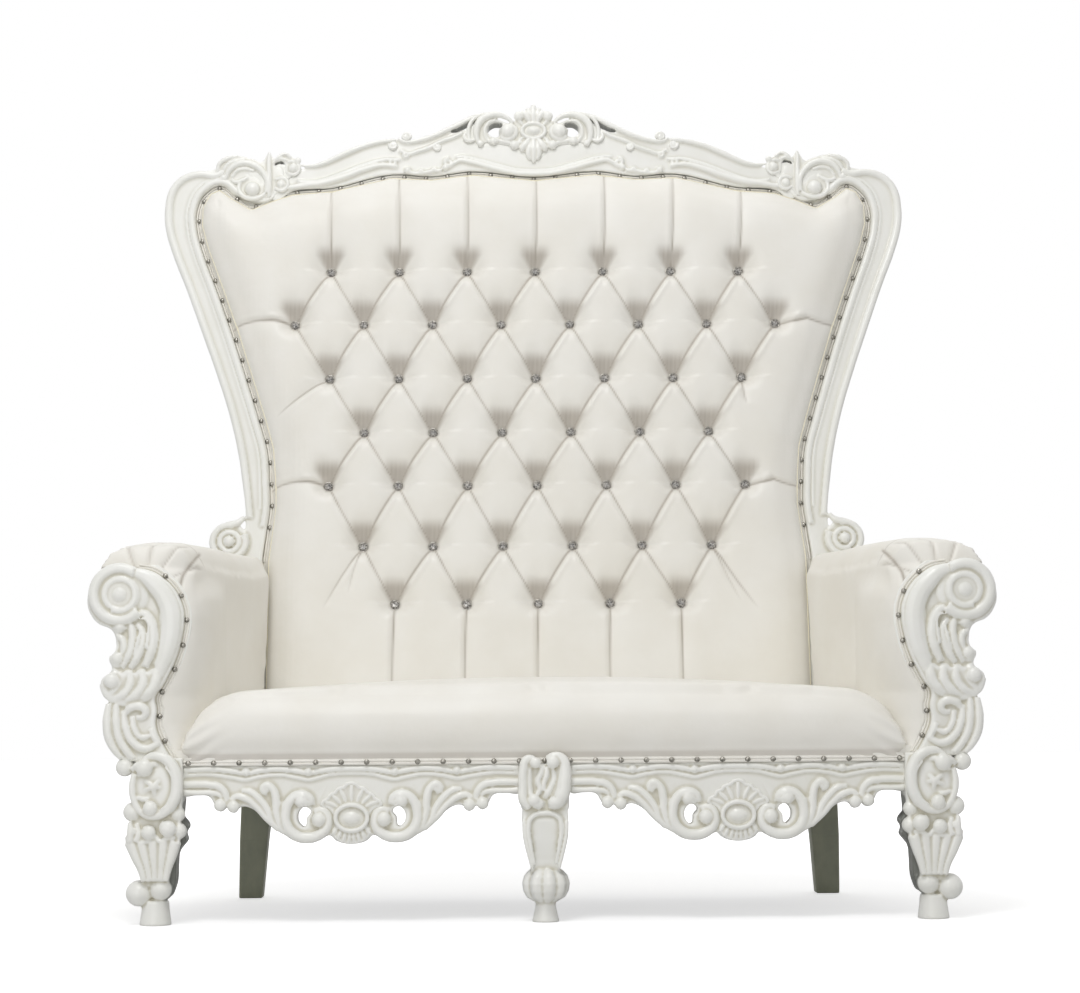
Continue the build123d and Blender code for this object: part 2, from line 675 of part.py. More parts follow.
clip -= Box(2 * wire_radius + 2 * fit, clip_length + overrun, 2 * wire_radius + fit,
            align=from_base)
spring_places = [spring_first + i * spring_pitch for i in range(springs_each_side)]
spring_places += [-x for x in spring_places]
parts["seat_springs"] = group([Pos(x, 0, 0) * spring for x in spring_places])
clips = []
for x in spring_places:
    for y in (spring_front + clip_length / 2, spring_rear - clip_length / 2):
        clips.append(Pos(x, y, rail_top) * clip)
parts["spring_clips"] = group(clips)

deck_bottom = rail_top + clip_height
deck_top = deck_bottom + deck_thickness


def seat_plan(front, rear, clearance):
    """The seat's outline between the arms, narrowed by a clearance at each side."""
    right = [(splayed(arm_inner, y) - clearance, y) for y in (front, rear)]
    return right + [(-x, y) for x, y in reversed(right)]


pad_front_at_rail = lean_y(rail_top, pad_crown)
deck_plan = seat_plan(
    apron_front + 2 * skirt_thickness, pad_front_at_rail - 2 * cover_thickness, 2 * cover_thickness)
parts["seat_deck"] = level(deck_plan, deck_bottom, deck_top)

# Seat pad: the plan between the arms, under a crowned top and behind a rolled front


def seat_form(skin):
    """The seat's outer shape, drawn in by the thickness of a skin."""
    front = apron_front - seat_bulge
    rear = back_rail_rear
    body = level(seat_plan(front - overrun, rear, fit + skin), rail_top, rail_top + seat_crown)
    side_line = [
        (apron_front - share[0] * seat_bulge + skin, rail_top + share[1] * seat_crown)
        for share in seat_front_shares
    ]
    side_line += [
        (front + share[0] * seat_front_roll + skin, rail_top + share[1] * seat_crown - skin)
        for share in seat_roll_shares
    ]
    side_line += [(rear, rail_top + seat_crown - skin), (rear, rail_top)]
    roll = prism(Plane.YZ, side_line, -half_width, half_width)
    edge = rail_top + seat_crown - seat_edge_drop - skin
    crown = make_face([
        ThreePointArc((-arm_inner, edge), (0, rail_top + seat_crown - skin), (arm_inner, edge)),
        Line((arm_inner, edge), (arm_inner, rail_top)),
        Line((arm_inner, rail_top), (-arm_inner, rail_top)),
        Line((-arm_inner, rail_top), (-arm_inner, edge)),
    ])
    arch = front_plane(rear) * extrude(crown, amount=rear - front + overrun)
    behind = leaning_box(half_width, -back_height, back_height, frame_rear - rear, pad_crown + fit)
    return (body & roll & arch) - behind


seat_cover = seat_form(0) - seat_form(cover_thickness)
skirt_half = leg_inner - fit
seat_cover += upright([
    (-skirt_half, skirt_bottom), (skirt_half, skirt_bottom), (skirt_half, rail_top), (-skirt_half, rail_top),
], apron_front, apron_front + skirt_thickness)
parts["seat_cover"] = seat_cover
above_deck = Box(4 * half_width, 4 * half_width, seat_crown, align=from_base)
parts["seat_foam"] = seat_form(cover_thickness + fit) & above_deck.moved(Location((0, 0, deck_top)))
seat_gimp_half = skirt_half - fit
parts["seat_gimp"] = upright([
    (-seat_gimp_half, skirt_bottom), (seat_gimp_half, skirt_bottom),
    (seat_gimp_half, skirt_bottom + gimp_width), (-seat_gimp_half, skirt_bottom + gimp_width),
], apron_front - gimp_thickness, apron_front)
seat_nail_z = skirt_bottom + gimp_width / 2
seat_nail_x = seat_gimp_half - gimp_width
parts["seat_nails"] = nails_on(
    front_plane(apron_front - gimp_thickness),
    spaced([(-seat_nail_x, seat_nail_z), (seat_nail_x, seat_nail_z)], nail_pitch))

# Legs


def section_between(low_x, high_x, z, near, far):
    """A level rectangle for a lofted leg."""
    flat = make_face(Polyline((low_x, near), (high_x, near), (high_x, far), (low_x, far), close=True))
    return Pos(0, 0, z) * flat


post_depth = leg_post_rear - leg_post_front
leg = upright([
    (leg_inner, leg_taper_shares[0][2] * rail_top), (leg_outer, leg_taper_shares[0][2] * rail_top),
    (leg_outer, rail_top), (leg_inner, rail_top),
], leg_post_front, leg_post_rear)
leg += loft([
    section_between(low * half_width, high * half_width, z * rail_top,
                    leg_post_front + near * post_depth, leg_post_front + far * post_depth)
    for low, high, z, near, far in leg_taper_shares
], ruled=True)
foot_x = leg_foot_place_share * half_width
foot_y = leg_post_front + post_depth / 2
foot_height = leg_foot_height_share * rail_top
leg += Pos(foot_x, foot_y, foot_height / 2) * Cone(
    leg_foot_radius_shares[1] * rail_top, leg_foot_radius_shares[0] * rail_top, foot_height)
leg_oval = Ellipse(leg_oval_size_shares[0] * half_width, leg_oval_size_shares[1] * rail_top)
leg_oval_place = Pos(leg_oval_share[0] * half_width, leg_oval_share[1] * rail_top)
leg += front_plane(leg_post_front) * leg_oval_place * extrude(leg_oval, amount=leg_raise)
for x, z, radius in leg_ball_shares:
    leg += Pos(x * half_width, leg_post_front + leg_raise, z * rail_top) * Sphere(radius * rail_top)
for x, z, radius in ankle_ball_shares:
    leg += Pos(x * half_width, leg_post_front + post_depth * ankle_depth_share, z * rail_top) * Sphere(
        radius * rail_top)
both_sides("front_leg", leg)

middle_leg = upright([
    (-middle_half_width, middle_block_bottom), (middle_half_width, middle_block_bottom),
    (middle_half_width, skirt_bottom), (-middle_half_width, skirt_bottom),
], leg_post_front, leg_post_rear)
middle_leg += upright([
    (-middle_half_width, skirt_bottom), (middle_half_width, skirt_bottom),
    (middle_half_width, rail_top), (-middle_half_width, rail_top),
], apron_front + skirt_thickness, leg_post_rear)
middle_leg += loft([
    section_between(-wide * middle_half_width, wide * middle_half_width, z * rail_top,
                    leg_post_front + near * post_depth, leg_post_front + far * post_depth)
    for wide, z, near, far in middle_taper_shares
], ruled=True)
foot_line = [(radius * middle_half_width, z * rail_top) for radius, z in middle_foot_shares]
foot_outline = make_face(Polyline((0, foot_line[0][1]), *foot_line, (0, 0), close=True))
middle_leg += Pos(0, foot_y, 0) * revolve(Plane.XZ * foot_outline, Axis.Z)
parts["front_leg_middle"] = middle_leg

rear_top_y = back_rail_rear - rear_leg_top_depth / 2
rear_leg_sections = []
for share, bend in rear_leg_bend_shares:
    wide = rear_leg_foot_width + (rear_leg_top_width - rear_leg_foot_width) * share
    deep = rear_leg_foot_depth + (rear_leg_top_depth - rear_leg_foot_depth) * share
    x = rear_leg_foot_x + (rear_leg_top_x - rear_leg_foot_x) * share
    y = rear_top_y + rear_leg_sweep * bend
    rear_leg_sections.append(section_between(
        x - wide / 2, x + wide / 2, rail_bottom * share, y - deep / 2, y + deep / 2))
both_sides("rear_leg", loft(rear_leg_sections, ruled=True))

dust_half = [
    (splayed(side_inner + side_rail_thickness / 2, apron_rear), apron_rear),
    (splayed(side_inner + side_rail_thickness / 2, back_rail_rear), back_rail_rear),
]
dust_cover = level(
    dust_half + [(-x, y) for x, y in reversed(dust_half)], rail_bottom - dust_thickness, rail_bottom)
hole_width = rear_leg_top_width + overrun
for side in (-1, 1):
    dust_cover -= Pos(side * rear_leg_top_x, rear_top_y, rail_bottom) * Box(
        hole_width, rear_leg_top_depth + overrun, overrun)
    leg_middle = side * (leg_inner + leg_outer) / 2
    dust_cover -= Pos(leg_middle, foot_y, rail_bottom) * Box(
        leg_outer - leg_inner + 2 * fit + overrun, post_depth + 2 * fit, overrun)
dust_cover -= Pos(0, foot_y, rail_bottom) * Box(
    2 * middle_half_width + 2 * fit, post_depth + 2 * fit, overrun)
parts["dust_cover"] = dust_cover

# Arms
arm_run = back_rail_rear + overrun * 4 - arm_board_rear
arm_way = Vector(-arm_splay, 1, 0)


def along_arm(outline):
    """An outline at the arm fronts, drawn back along the arm."""
    return extrude(front_plane(arm_board_rear) * outline, amount=arm_run * arm_way.length, dir=arm_way)


def arm_bar(low_x, high_x, low_z, high_z):
    return along_arm(make_face(Polyline(
        (low_x, low_z), (high_x, low_z), (high_x, high_z), (low_x, high_z), close=True)))


def behind_plane(depth):
    return leaning_box(2 * half_width, -back_height, back_height, frame_rear - arm_run, depth)


def beside_back(clearance):
    """The room that the back pad takes between the arms."""
    return leaning_box(nail_loop[0][0] + cover_overlap + clearance, -back_height, back_height,
                       frame_rear - arm_run, pad_crown + clearance)


def arm_form(skin):
    inner = arm_inner + skin
    outer = side_outer - skin
    top = arm_roll_height - skin
    roll_out = arm_roll_outer - skin
    under = arm_roll_under + skin
    roll = (arm_roll_height - arm_roll_under) / 2
    corner = roll * arm_corner_share
    corner_in = corner * arc_share
    roll_in = roll * arc_share
    under_in = (roll * under_shares[0], roll * under_shares[1])
    outline = make_face([
        Line((inner, rail_top), (inner, top - corner)),
        ThreePointArc((inner, top - corner), (inner + corner_in, top - corner_in), (inner + corner, top)),
        Line((inner + corner, top), (roll_out - roll, top)),
        ThreePointArc((roll_out - roll, top), (roll_out - roll_in, top - roll_in), (roll_out, top - roll)),
        ThreePointArc((roll_out, top - roll), (roll_out - under_in[0], under + under_in[1]), (outer, under)),
        Line((outer, under), (outer, rail_top)),
        Line((outer, rail_top), (inner, rail_top)),
    ])
    drop = [(arm_board_rear - overrun, top + overrun), (arm_board_rear - overrun, top - arm_front_drop)]
    drop += [(arm_board_rear + arm_front_roll * y, top - arm_front_drop * z) for y, z in drop_shares]
    drop.append((arm_board_rear + arm_front_roll, top + overrun))
    form = along_arm(outline) - prism(Plane.YZ, drop, 0, 2 * half_width)
    return form - behind_plane(show_front) - beside_back(fit + skin)


arm_rail_outer = side_outer - 2 * cover_thickness
arm_rail = arm_bar(
    arm_rail_outer - arm_rail_size, arm_rail_outer, arm_rail_bottom, arm_rail_bottom + arm_rail_size)
arm_rail = arm_rail - behind_plane(show_front)
both_sides("arm_rail", arm_rail)
arm_panel_outer = arm_rail_outer - arm_rail_size / 2
arm_panel = arm_bar(arm_panel_outer - arm_panel_thickness, arm_panel_outer, rail_top, arm_rail_bottom)
arm_panel = arm_panel - behind_plane(show_front)
both_sides("arm_panel", arm_panel)
both_sides("arm_foam", arm_form(cover_thickness + fit) - arm_rail - arm_panel)
both_sides("arm_cover", arm_form(0) - arm_form(cover_thickness))
outside_arm = arm_bar(side_outer, arm_outer, rail_bottom, arm_roll_under - fit) - behind_plane(frame_rear)
both_sides("outside_arm", outside_arm)


def arm_points(shares):
    return [(share[0] * half_width, rail_top + share[1] * (arm_height - rail_top)) for share in shares]


arm_edge = arm_points(arm_inner_shares)
arm_outside = arm_points(arm_outer_shares)
strip_edge = shifted(arm_edge, arm_strip_width)
strip_edge = [(x, max(z, rail_top)) for x, z in strip_edge]
arm_front = upright(arm_edge + arm_outside, arm_board_front, arm_board_step)
arm_front += upright(strip_edge + [arm_edge[-1]] + arm_outside, arm_board_step, arm_board_rear)
volute = arm_points([volute_place_share])[0]
outer_ring, ring_gap, inner_ring, eye = [share * half_width for share in volute_ring_shares]
volute_plane = front_plane(arm_board_front) * Pos(*volute)
arm_front += volute_plane * extrude(Circle(outer_ring) - Circle(ring_gap), amount=volute_raise)
arm_front += volute_plane * extrude(Circle(inner_ring) - Circle(eye + leg_raise / 2), amount=volute_raise)
arm_front += volute_plane * extrude(Circle(eye), amount=volute_raise)
for share, place in zip(arm_curl_shares, arm_points(arm_curl_shares)):
    arm_front += front_plane(arm_board_front) * Pos(*place) * extrude(
        Circle(share[2] * half_width), amount=volute_raise / 2)
both_sides("arm_front", arm_front)

gimp_edge = shifted(arm_edge, fit)[1:-2]
arm_gimp_outline = gimp_edge + list(reversed(shifted(arm_edge, gimp_width)[1:-2]))
arm_gimp = upright(arm_gimp_outline, arm_board_step - gimp_thickness, arm_board_step)
parts["arm_gimp"] = group([arm_gimp, mirrored(arm_gimp)])
arm_nail_line = shifted(arm_edge, gimp_width / 2)[1:-2]
arm_nail_places = spaced(arm_nail_line, nail_pitch)
arm_nail_places += [(-x, z) for x, z in arm_nail_places]
parts["arm_nails"] = nails_on(front_plane(arm_board_step - gimp_thickness), arm_nail_places)

# Dowels and bolts that hold the frame together
for share in arm_dowel_shares:
    x = leg_inner + (leg_outer - leg_inner) * share
    arm_foot = Pos(x, (arm_board_front + arm_board_rear) / 2, rail_top)
    dowels.append(arm_foot * Cylinder(dowel_radius, dowel_length))
for z in (rail_middle, rail_top - 2 * dowel_radius):
    for x in (leg_inner, middle_half_width):
        apron_end = Plane(origin=(x, (apron_front + skirt_thickness + apron_rear) / 2, z), z_dir=(1, 0, 0))
        dowels.append(apron_end * Cylinder(dowel_radius, dowel_length))
    side_end_x = (splayed(side_inner, leg_post_rear) + leg_outer) / 2
    side_end = Plane(origin=(side_end_x, leg_post_rear, z), z_dir=(0, 1, 0))
    dowels.append(side_end * Cylinder(dowel_radius, dowel_length))
parts["frame_dowels"] = group(dowels + [mirrored(shape) for shape in dowels])

frame_middle_y = lean_y(rail_top, (frame_rear + rebate_floor) / 2)
stile_bolt_x = (nail_loop[0][0] + outer_loop[0][0]) / 2
bolts = []
for x in (stile_bolt_x, stile_bolt_x / 2):
    bolts.append(Pos(x, frame_middle_y, rail_top - bolt_drop) * Cylinder(bolt_radius, bolt_length))
bolts.append(Pos(rear_leg_top_x - rear_leg_top_width / 4, (back_rail_front + back_rail_rear) / 2,
                 rail_bottom) * Cylinder(bolt_radius, bolt_length))
parts["frame_bolts"] = group(bolts + [mirrored(shape) for shape in bolts])

for name, shape in parts.items():
    export_step(shape, f"parts/{name}.step")
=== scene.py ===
from math import cos, hypot, pi, radians, sin

import bmesh
import bpy
import numpy as np
from mathutils import Matrix, Vector


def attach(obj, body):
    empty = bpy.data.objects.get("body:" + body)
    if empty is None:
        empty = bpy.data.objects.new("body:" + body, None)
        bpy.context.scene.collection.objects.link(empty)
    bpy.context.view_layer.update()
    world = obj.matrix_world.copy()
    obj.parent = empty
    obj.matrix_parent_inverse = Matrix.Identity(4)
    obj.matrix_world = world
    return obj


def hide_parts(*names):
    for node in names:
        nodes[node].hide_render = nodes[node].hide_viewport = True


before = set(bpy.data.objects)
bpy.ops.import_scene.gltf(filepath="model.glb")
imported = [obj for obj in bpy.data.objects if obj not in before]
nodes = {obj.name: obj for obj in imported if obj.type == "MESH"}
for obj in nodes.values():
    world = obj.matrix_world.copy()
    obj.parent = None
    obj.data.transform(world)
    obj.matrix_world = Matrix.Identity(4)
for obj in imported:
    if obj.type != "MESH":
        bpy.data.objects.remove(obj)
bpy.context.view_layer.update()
scene = bpy.context.scene

# Carving and upholstery are drawn in millimetres in a plane of their own: across, up, and out to the front
mm = 0.001
lean = radians(9.0)
back_foot_y = 0.160
back_foot_z = 0.300
back_place = Matrix((
    (mm, 0, 0, 0),
    (0, mm * sin(lean), -mm * cos(lean), back_foot_y),
    (0, mm * cos(lean), mm * sin(lean), back_foot_z),
    (0, 0, 0, 1),
))


def front_place(y):
    """An upright plane across the chair at this depth in metres."""
    return Matrix(((mm, 0, 0, 0), (0, 0, -mm, y), (0, mm, 0, 0), (0, 0, 0, 1)))


arm_face = front_place(-0.418)
apron_face = front_place(-0.400)


# Camera at the photograph's viewing angle
camera_place = Vector((-0.0917, -5.0, 0.4195))
camera_yaw = radians(1.073)
camera_pitch = radians(5.080)
camera_roll = radians(-0.422)
focal_share = 2346 / 1080    # focal length as a share of the picture's width


def make_camera():
    data = bpy.data.cameras.new("camera")
    data.sensor_fit = "HORIZONTAL"
    data.sensor_width = 36
    data.lens = focal_share * data.sensor_width
    camera = bpy.data.objects.new("camera", data)
    scene.collection.objects.link(camera)
    ahead = Vector((
        sin(camera_yaw) * cos(camera_pitch), cos(camera_yaw) * cos(camera_pitch), sin(camera_pitch)))
    right = Vector((cos(camera_yaw), -sin(camera_yaw), 0))
    up = right.cross(ahead)
    across = right * cos(camera_roll) + up * sin(camera_roll)
    upward = up * cos(camera_roll) - right * sin(camera_roll)
    camera.matrix_world = Matrix((
        (across.x, upward.x, -ahead.x, camera_place.x),
        (across.y, upward.y, -ahead.y, camera_place.y),
        (across.z, upward.z, -ahead.z, camera_place.z),
        (0, 0, 0, 1),
    ))
    scene.camera = camera


# Materials


def start_material(name, roughness, **sockets):
    """A material and its shader, with the values that are the same all over set on the shader."""
    material = bpy.data.materials.new(name)
    material.use_nodes = True
    shader = material.node_tree.nodes["Principled BSDF"]
    shader.inputs["Roughness"].default_value = roughness
    for socket, value in sockets.items():
        shader.inputs[socket.replace("_", " ")].default_value = value
    return material, material.node_tree, shader


def add_node(tree, kind, values=(), **settings):
    made = tree.nodes.new(kind)
    for name, value in settings.items():
        setattr(made, name, value)
    for name, value in dict(values).items():
        made.inputs[name].default_value = value
    return made


def object_coordinates(tree, stretch=(1, 1, 1)):
    place = add_node(tree, "ShaderNodeTexCoord")
    mapping = add_node(tree, "ShaderNodeMapping", {"Scale": stretch})
    tree.links.new(place.outputs["Object"], mapping.inputs["Vector"])
    return mapping.outputs["Vector"]


def noise(tree, vector, scale, detail=3, roughness=0.5):
    made = add_node(tree, "ShaderNodeTexNoise", {"Scale": scale, "Detail": detail, "Roughness": roughness})
    tree.links.new(vector, made.inputs["Vector"])
    return made.outputs["Fac"]


def cells(tree, vector, scale, feature="F1"):
    made = add_node(tree, "ShaderNodeTexVoronoi", {"Scale": scale}, feature=feature)
    tree.links.new(vector, made.inputs["Vector"])
    return made.outputs["Distance"]


def blend_colours(tree, amount, low, high):
    made = add_node(tree, "ShaderNodeMix", data_type="RGBA")
    for slot, given in ((6, low), (7, high)):
        made.inputs[slot].default_value = (*given, 1)
    tree.links.new(amount, made.inputs[0])
    return made


def tinted(tree, amount, under, over):
    """The colour under it, turned towards another colour by an amount."""
    made = add_node(tree, "ShaderNodeMix", data_type="RGBA")
    tree.links.new(amount, made.inputs[0])
    tree.links.new(under, made.inputs[6])
    made.inputs[7].default_value = (*over, 1)
    return made


def ranged(tree, value, low, high, new_low, new_high):
    made = add_node(tree, "ShaderNodeMapRange", {
        "From Min": low, "From Max": high, "To Min": new_low, "To Max": new_high})
    tree.links.new(value, made.inputs["Value"])
    return made.outputs["Result"]


def attribute(tree, name):
    made = add_node(tree, "ShaderNodeAttribute", attribute_name=name)
    return made.outputs["Fac"]


def bump(tree, height, distance, strength=1.0, under=None):
    made = add_node(tree, "ShaderNodeBump", {"Distance": distance, "Strength": strength})
    tree.links.new(height, made.inputs["Height"])
    if under is not None:
        tree.links.new(under, made.inputs["Normal"])
    return made.outputs["Normal"]


def leather_material(name, pale, warm, leather_shade_colour):
    """Soft faux leather: a fine pebble grain, faint broad unevenness, and painted shade in its creases."""
    material, tree, shader = start_material(name, 0.46, Specular_IOR_Level=0.42, Coat_Weight=0.08,
                                            Coat_Roughness=0.35)
    place = object_coordinates(tree)
    cloudy = noise(tree, place, 9.0, 4)
    colour = blend_colours(tree, ranged(tree, cloudy, 0.35, 0.65, 0, 1), pale, warm)
    # Painted shade: the stored amount turns the leather towards a shade colour in folds, wells and seams.
    with_painted_shade = tinted(tree, attribute(tree, "leather_painted_shade"), colour.outputs[2], leather_shade_colour)
    tree.links.new(with_painted_shade.outputs[2], shader.inputs["Base Color"])
    pebbles = cells(tree, place, 850, "DISTANCE_TO_EDGE")
    pores = noise(tree, place, 1500, 2)
    slack = noise(tree, place, 45, 3)
    normal = bump(tree, slack, 0.0016, 0.35)
    normal = bump(tree, pebbles, 0.00016, 0.5, normal)
    normal = bump(tree, pores, 0.00006, 0.4, normal)
    tree.links.new(normal, shader.inputs["Normal"])
    return material


def lacquer_material(name, pale, warm, recess_shade_colour):
    """White lacquer over carving: brushed paint, painted shade in its recesses, and dark grey painted shade on walls
    that face down or away from the light.
    """
    material, tree, shader = start_material(name, 0.34, Specular_IOR_Level=0.45, Coat_Weight=0.2,
                                            Coat_Roughness=0.18)
    place = object_coordinates(tree)
    cloudy = noise(tree, place, 14, 4)
    colour = blend_colours(tree, ranged(tree, cloudy, 0.35, 0.65, 0, 1), pale, warm)
    # Painted shade in the carving's hollows.
    shaded = tinted(tree, attribute(tree, "recess_shade"), colour.outputs[2], recess_shade_colour)
    # Dark grey painted shade on walls that face down or away from the light.
    greyed = tinted(tree, attribute(tree, "painted_side_shade"), shaded.outputs[2], (0.17, 0.175, 0.155))
    tree.links.new(greyed.outputs[2], shader.inputs["Base Color"])
    strokes = noise(tree, object_coordinates(tree, (160, 160, 28)), 1.0, 3)
    specks = noise(tree, place, 700, 2)
    normal = bump(tree, strokes, 0.0004, 0.35)
    normal = bump(tree, specks, 0.00008, 0.3, normal)
    tree.links.new(normal, shader.inputs["Normal"])
    return material


def plain_paint_material(name, low, high, roughness, grain=(40, 40, 6)):
    """Satin paint or bare timber with a long grain."""
    material, tree, shader = start_material(name, roughness)
    grainy = noise(tree, object_coordinates(tree, grain), 1.0, 5, 0.6)
    colour = blend_colours(tree, ranged(tree, grainy, 0.3, 0.7, 0, 1), low, high)
    tree.links.new(colour.outputs[2], shader.inputs["Base Color"])
    tree.links.new(bump(tree, grainy, 0.0006, 0.4), shader.inputs["Normal"])
    return material


def woven_material(name, low, high, threads, roughness=0.9):
    """A plain weave of crossing threads."""
    material, tree, shader = start_material(name, roughness)
    place = object_coordinates(tree)
    across = add_node(tree, "ShaderNodeTexWave", {"Scale": threads}, bands_direction="X")
    along = add_node(tree, "ShaderNodeTexWave", {"Scale": threads}, bands_direction="Y")
    for wave in (across, along):
        tree.links.new(place, wave.inputs["Vector"])
    both = add_node(tree, "ShaderNodeMath", operation="MAXIMUM")
    tree.links.new(across.outputs["Fac"], both.inputs[0])
    tree.links.new(along.outputs["Fac"], both.inputs[1])
    colour = blend_colours(tree, both.outputs[0], low, high)
    tree.links.new(colour.outputs[2], shader.inputs["Base Color"])
    tree.links.new(bump(tree, both.outputs[0], 0.0003, 0.6), shader.inputs["Normal"])
    return material


def foam_material(name, low, high):
    material, tree, shader = start_material(name, 0.95)
    bubbles = cells(tree, object_coordinates(tree), 420)
    colour = blend_colours(tree, bubbles, low, high)
    tree.links.new(colour.outputs[2], shader.inputs["Base Color"])
    tree.links.new(bump(tree, bubbles, 0.0006, 0.6), shader.inputs["Normal"])
    return material


def metal_material(name, low, high, roughness):
    material, tree, shader = start_material(name, roughness, Metallic=1.0)
    smears = noise(tree, object_coordinates(tree), 260, 4)
    colour = blend_colours(tree, ranged(tree, smears, 0.35, 0.65, 0, 1), low, high)
    tree.links.new(colour.outputs[2], shader.inputs["Base Color"])
    tree.links.new(bump(tree, smears, 0.00008, 0.4), shader.inputs["Normal"])
    return material


def crystal_material(name):
    """Cut crystal backed with foil, its reflections painted: each facet is painted lighter or darker than its
    neighbours, and random spots are painted near white as glints.
    """
    material, tree, shader = start_material(name, 0.08, Specular_IOR_Level=0.8, Coat_Weight=0.8,
                                            Coat_Roughness=0.03, Metallic=0.35)
    # Painted reflections: each facet dark or light by its stored value.
    colour = blend_colours(tree, attribute(tree, "facet"), (0.045, 0.043, 0.040), (0.50, 0.48, 0.45))
    # Painted glints: random spots turned towards near white.
    glint_spots = noise(tree, object_coordinates(tree), 400, 2)
    clear = tinted(tree, ranged(tree, glint_spots, 0.62, 0.80, 0, 0.5), colour.outputs[2], (0.93, 0.92, 0.90))
    tree.links.new(clear.outputs[2], shader.inputs["Base Color"])
    return material


materials = {
    # The leather's last colour is its painted shade.
    "white_leather": leather_material(
        "white_leather", (0.875, 0.855, 0.80), (0.845, 0.82, 0.755), (0.34, 0.29, 0.235)),
    # The lacquer's last colour is the painted shade of its hollows.
    "white_lacquer": lacquer_material(
        "white_lacquer", (0.895, 0.892, 0.852), (0.872, 0.869, 0.818), (0.56, 0.53, 0.42)),
    # Dark grey for the rear legs: painted shade for the seat's shadow over them.
    "grey_leg_finish": plain_paint_material("grey_leg_finish", (0.31, 0.325, 0.245), (0.385, 0.395, 0.295), 0.45),
    "frame_timber": plain_paint_material("frame_timber", (0.50, 0.36, 0.22), (0.64, 0.48, 0.31), 0.8),
    "stuffing": foam_material("stuffing", (0.80, 0.74, 0.56), (0.90, 0.86, 0.70)),
    "hessian": woven_material("hessian", (0.34, 0.25, 0.14), (0.56, 0.44, 0.27), 300),
    "black_dust_cloth": woven_material("black_dust_cloth", (0.015, 0.015, 0.016), (0.04, 0.04, 0.042), 700),
    "nail_metal": metal_material("nail_metal", (0.17, 0.165, 0.145), (0.44, 0.42, 0.38), 0.30),
    "spring_steel": metal_material("spring_steel", (0.40, 0.41, 0.43), (0.55, 0.55, 0.57), 0.35),
    "crystal": crystal_material("crystal"),
    "waxed_thread": woven_material("waxed_thread", (0.62, 0.57, 0.46), (0.80, 0.76, 0.66), 900, 0.6),
}


def dress_cad_nodes():
    """Every node that stays gets the finish of the slot that it was packed with."""
    for node in nodes.values():
        for place in node.material_slots:
            name = place.material.name.split(".")[0] if place.material else ""
            place.link = "OBJECT"
            place.material = materials.get(name, materials["frame_timber"])


# Mesh helpers


def evaluated_mesh(piece):
    """The piece's mesh with its modifiers applied."""
    view = bpy.context.evaluated_depsgraph_get()
    return bpy.data.meshes.new_from_object(piece.evaluated_get(view), depsgraph=view)


def new_piece(name, mesh, slot=None):
    piece = bpy.data.objects.new(name, mesh)
    scene.collection.objects.link(piece)
    if slot is not None:
        mesh.materials.clear()
        mesh.materials.append(materials[slot])
    return piece


def drop(piece):
    mesh = piece.data
    bpy.data.objects.remove(piece)
    if isinstance(mesh, bpy.types.Mesh):
        bpy.data.meshes.remove(mesh)
    else:
        bpy.data.curves.remove(mesh)


def shape_with(mesh, *modifiers):
    """A mesh with these modifiers applied, each a kind and its settings."""
    piece = new_piece("shaping", mesh)
    for kind, settings in modifiers:
        modifier = piece.modifiers.new(kind.lower(), kind)
        for name, value in settings.items():
            setattr(modifier, name, value)
    shaped = evaluated_mesh(piece)
    drop(piece)
    return shaped


def curve_mesh(data):
    piece = bpy.data.objects.new("drawn", data)
    scene.collection.objects.link(piece)
    mesh = evaluated_mesh(piece)
    drop(piece)
    return mesh


def points_of(mesh):
    places = np.empty(len(mesh.vertices) * 3, np.float64)
    mesh.vertices.foreach_get("co", places)
    return places.reshape(-1, 3)


def put_points(mesh, places):
    mesh.vertices.foreach_set("co", np.asarray(places, np.float32).ravel())
    mesh.update()


def normals_of(mesh):
    facing = np.empty(len(mesh.vertices) * 3, np.float32)
    mesh.vertices.foreach_get("normal", facing)
    return facing.reshape(-1, 3)


def edges_of(mesh):
    ends = np.empty(len(mesh.edges) * 2, np.int32)
    mesh.edges.foreach_get("vertices", ends)
    return ends.reshape(-1, 2)


def store(mesh, name, values):
    made = mesh.attributes.new(name, "FLOAT", "POINT")
    made.data.foreach_set("value", np.asarray(values, np.float32))


def averaged(places, ends, rounds):
    """Each point moved to the mean of its neighbours, several times over."""
    count = np.bincount(ends.ravel(), minlength=len(places))[:, None]
    moved = places
    for _ in range(rounds):
        total = np.zeros_like(moved)
        np.add.at(total, ends[:, 0], moved[ends[:, 1]])
        np.add.at(total, ends[:, 1], moved[ends[:, 0]])
        moved = total / np.maximum(count, 1)
    return moved


def shade_smooth(mesh):
    mesh.polygons.foreach_set("use_smooth", np.ones(len(mesh.polygons), bool))
    mesh.update()


# Painted shade in the carving's hollows: a hollow this deep gets all of it.
recess_depth = 0.9 * mm      # a hollow this deep takes the full recess colour


def mark_recess_shade(mesh):
    """Stores painted shade by how far each point lies in a hollow of the carving, less of it high up on the chair.
    """
    places = points_of(mesh)
    around = averaged(places, edges_of(mesh), 6)
    depth = ((around - places) * normals_of(mesh)).sum(1)
    strength = 0.88 - 0.40 * smooth_step(places[:, 2], 0.75, 1.20)
    store(mesh, "recess_shade", np.clip(depth / recess_depth, 0, 1) ** 0.8 * strength)


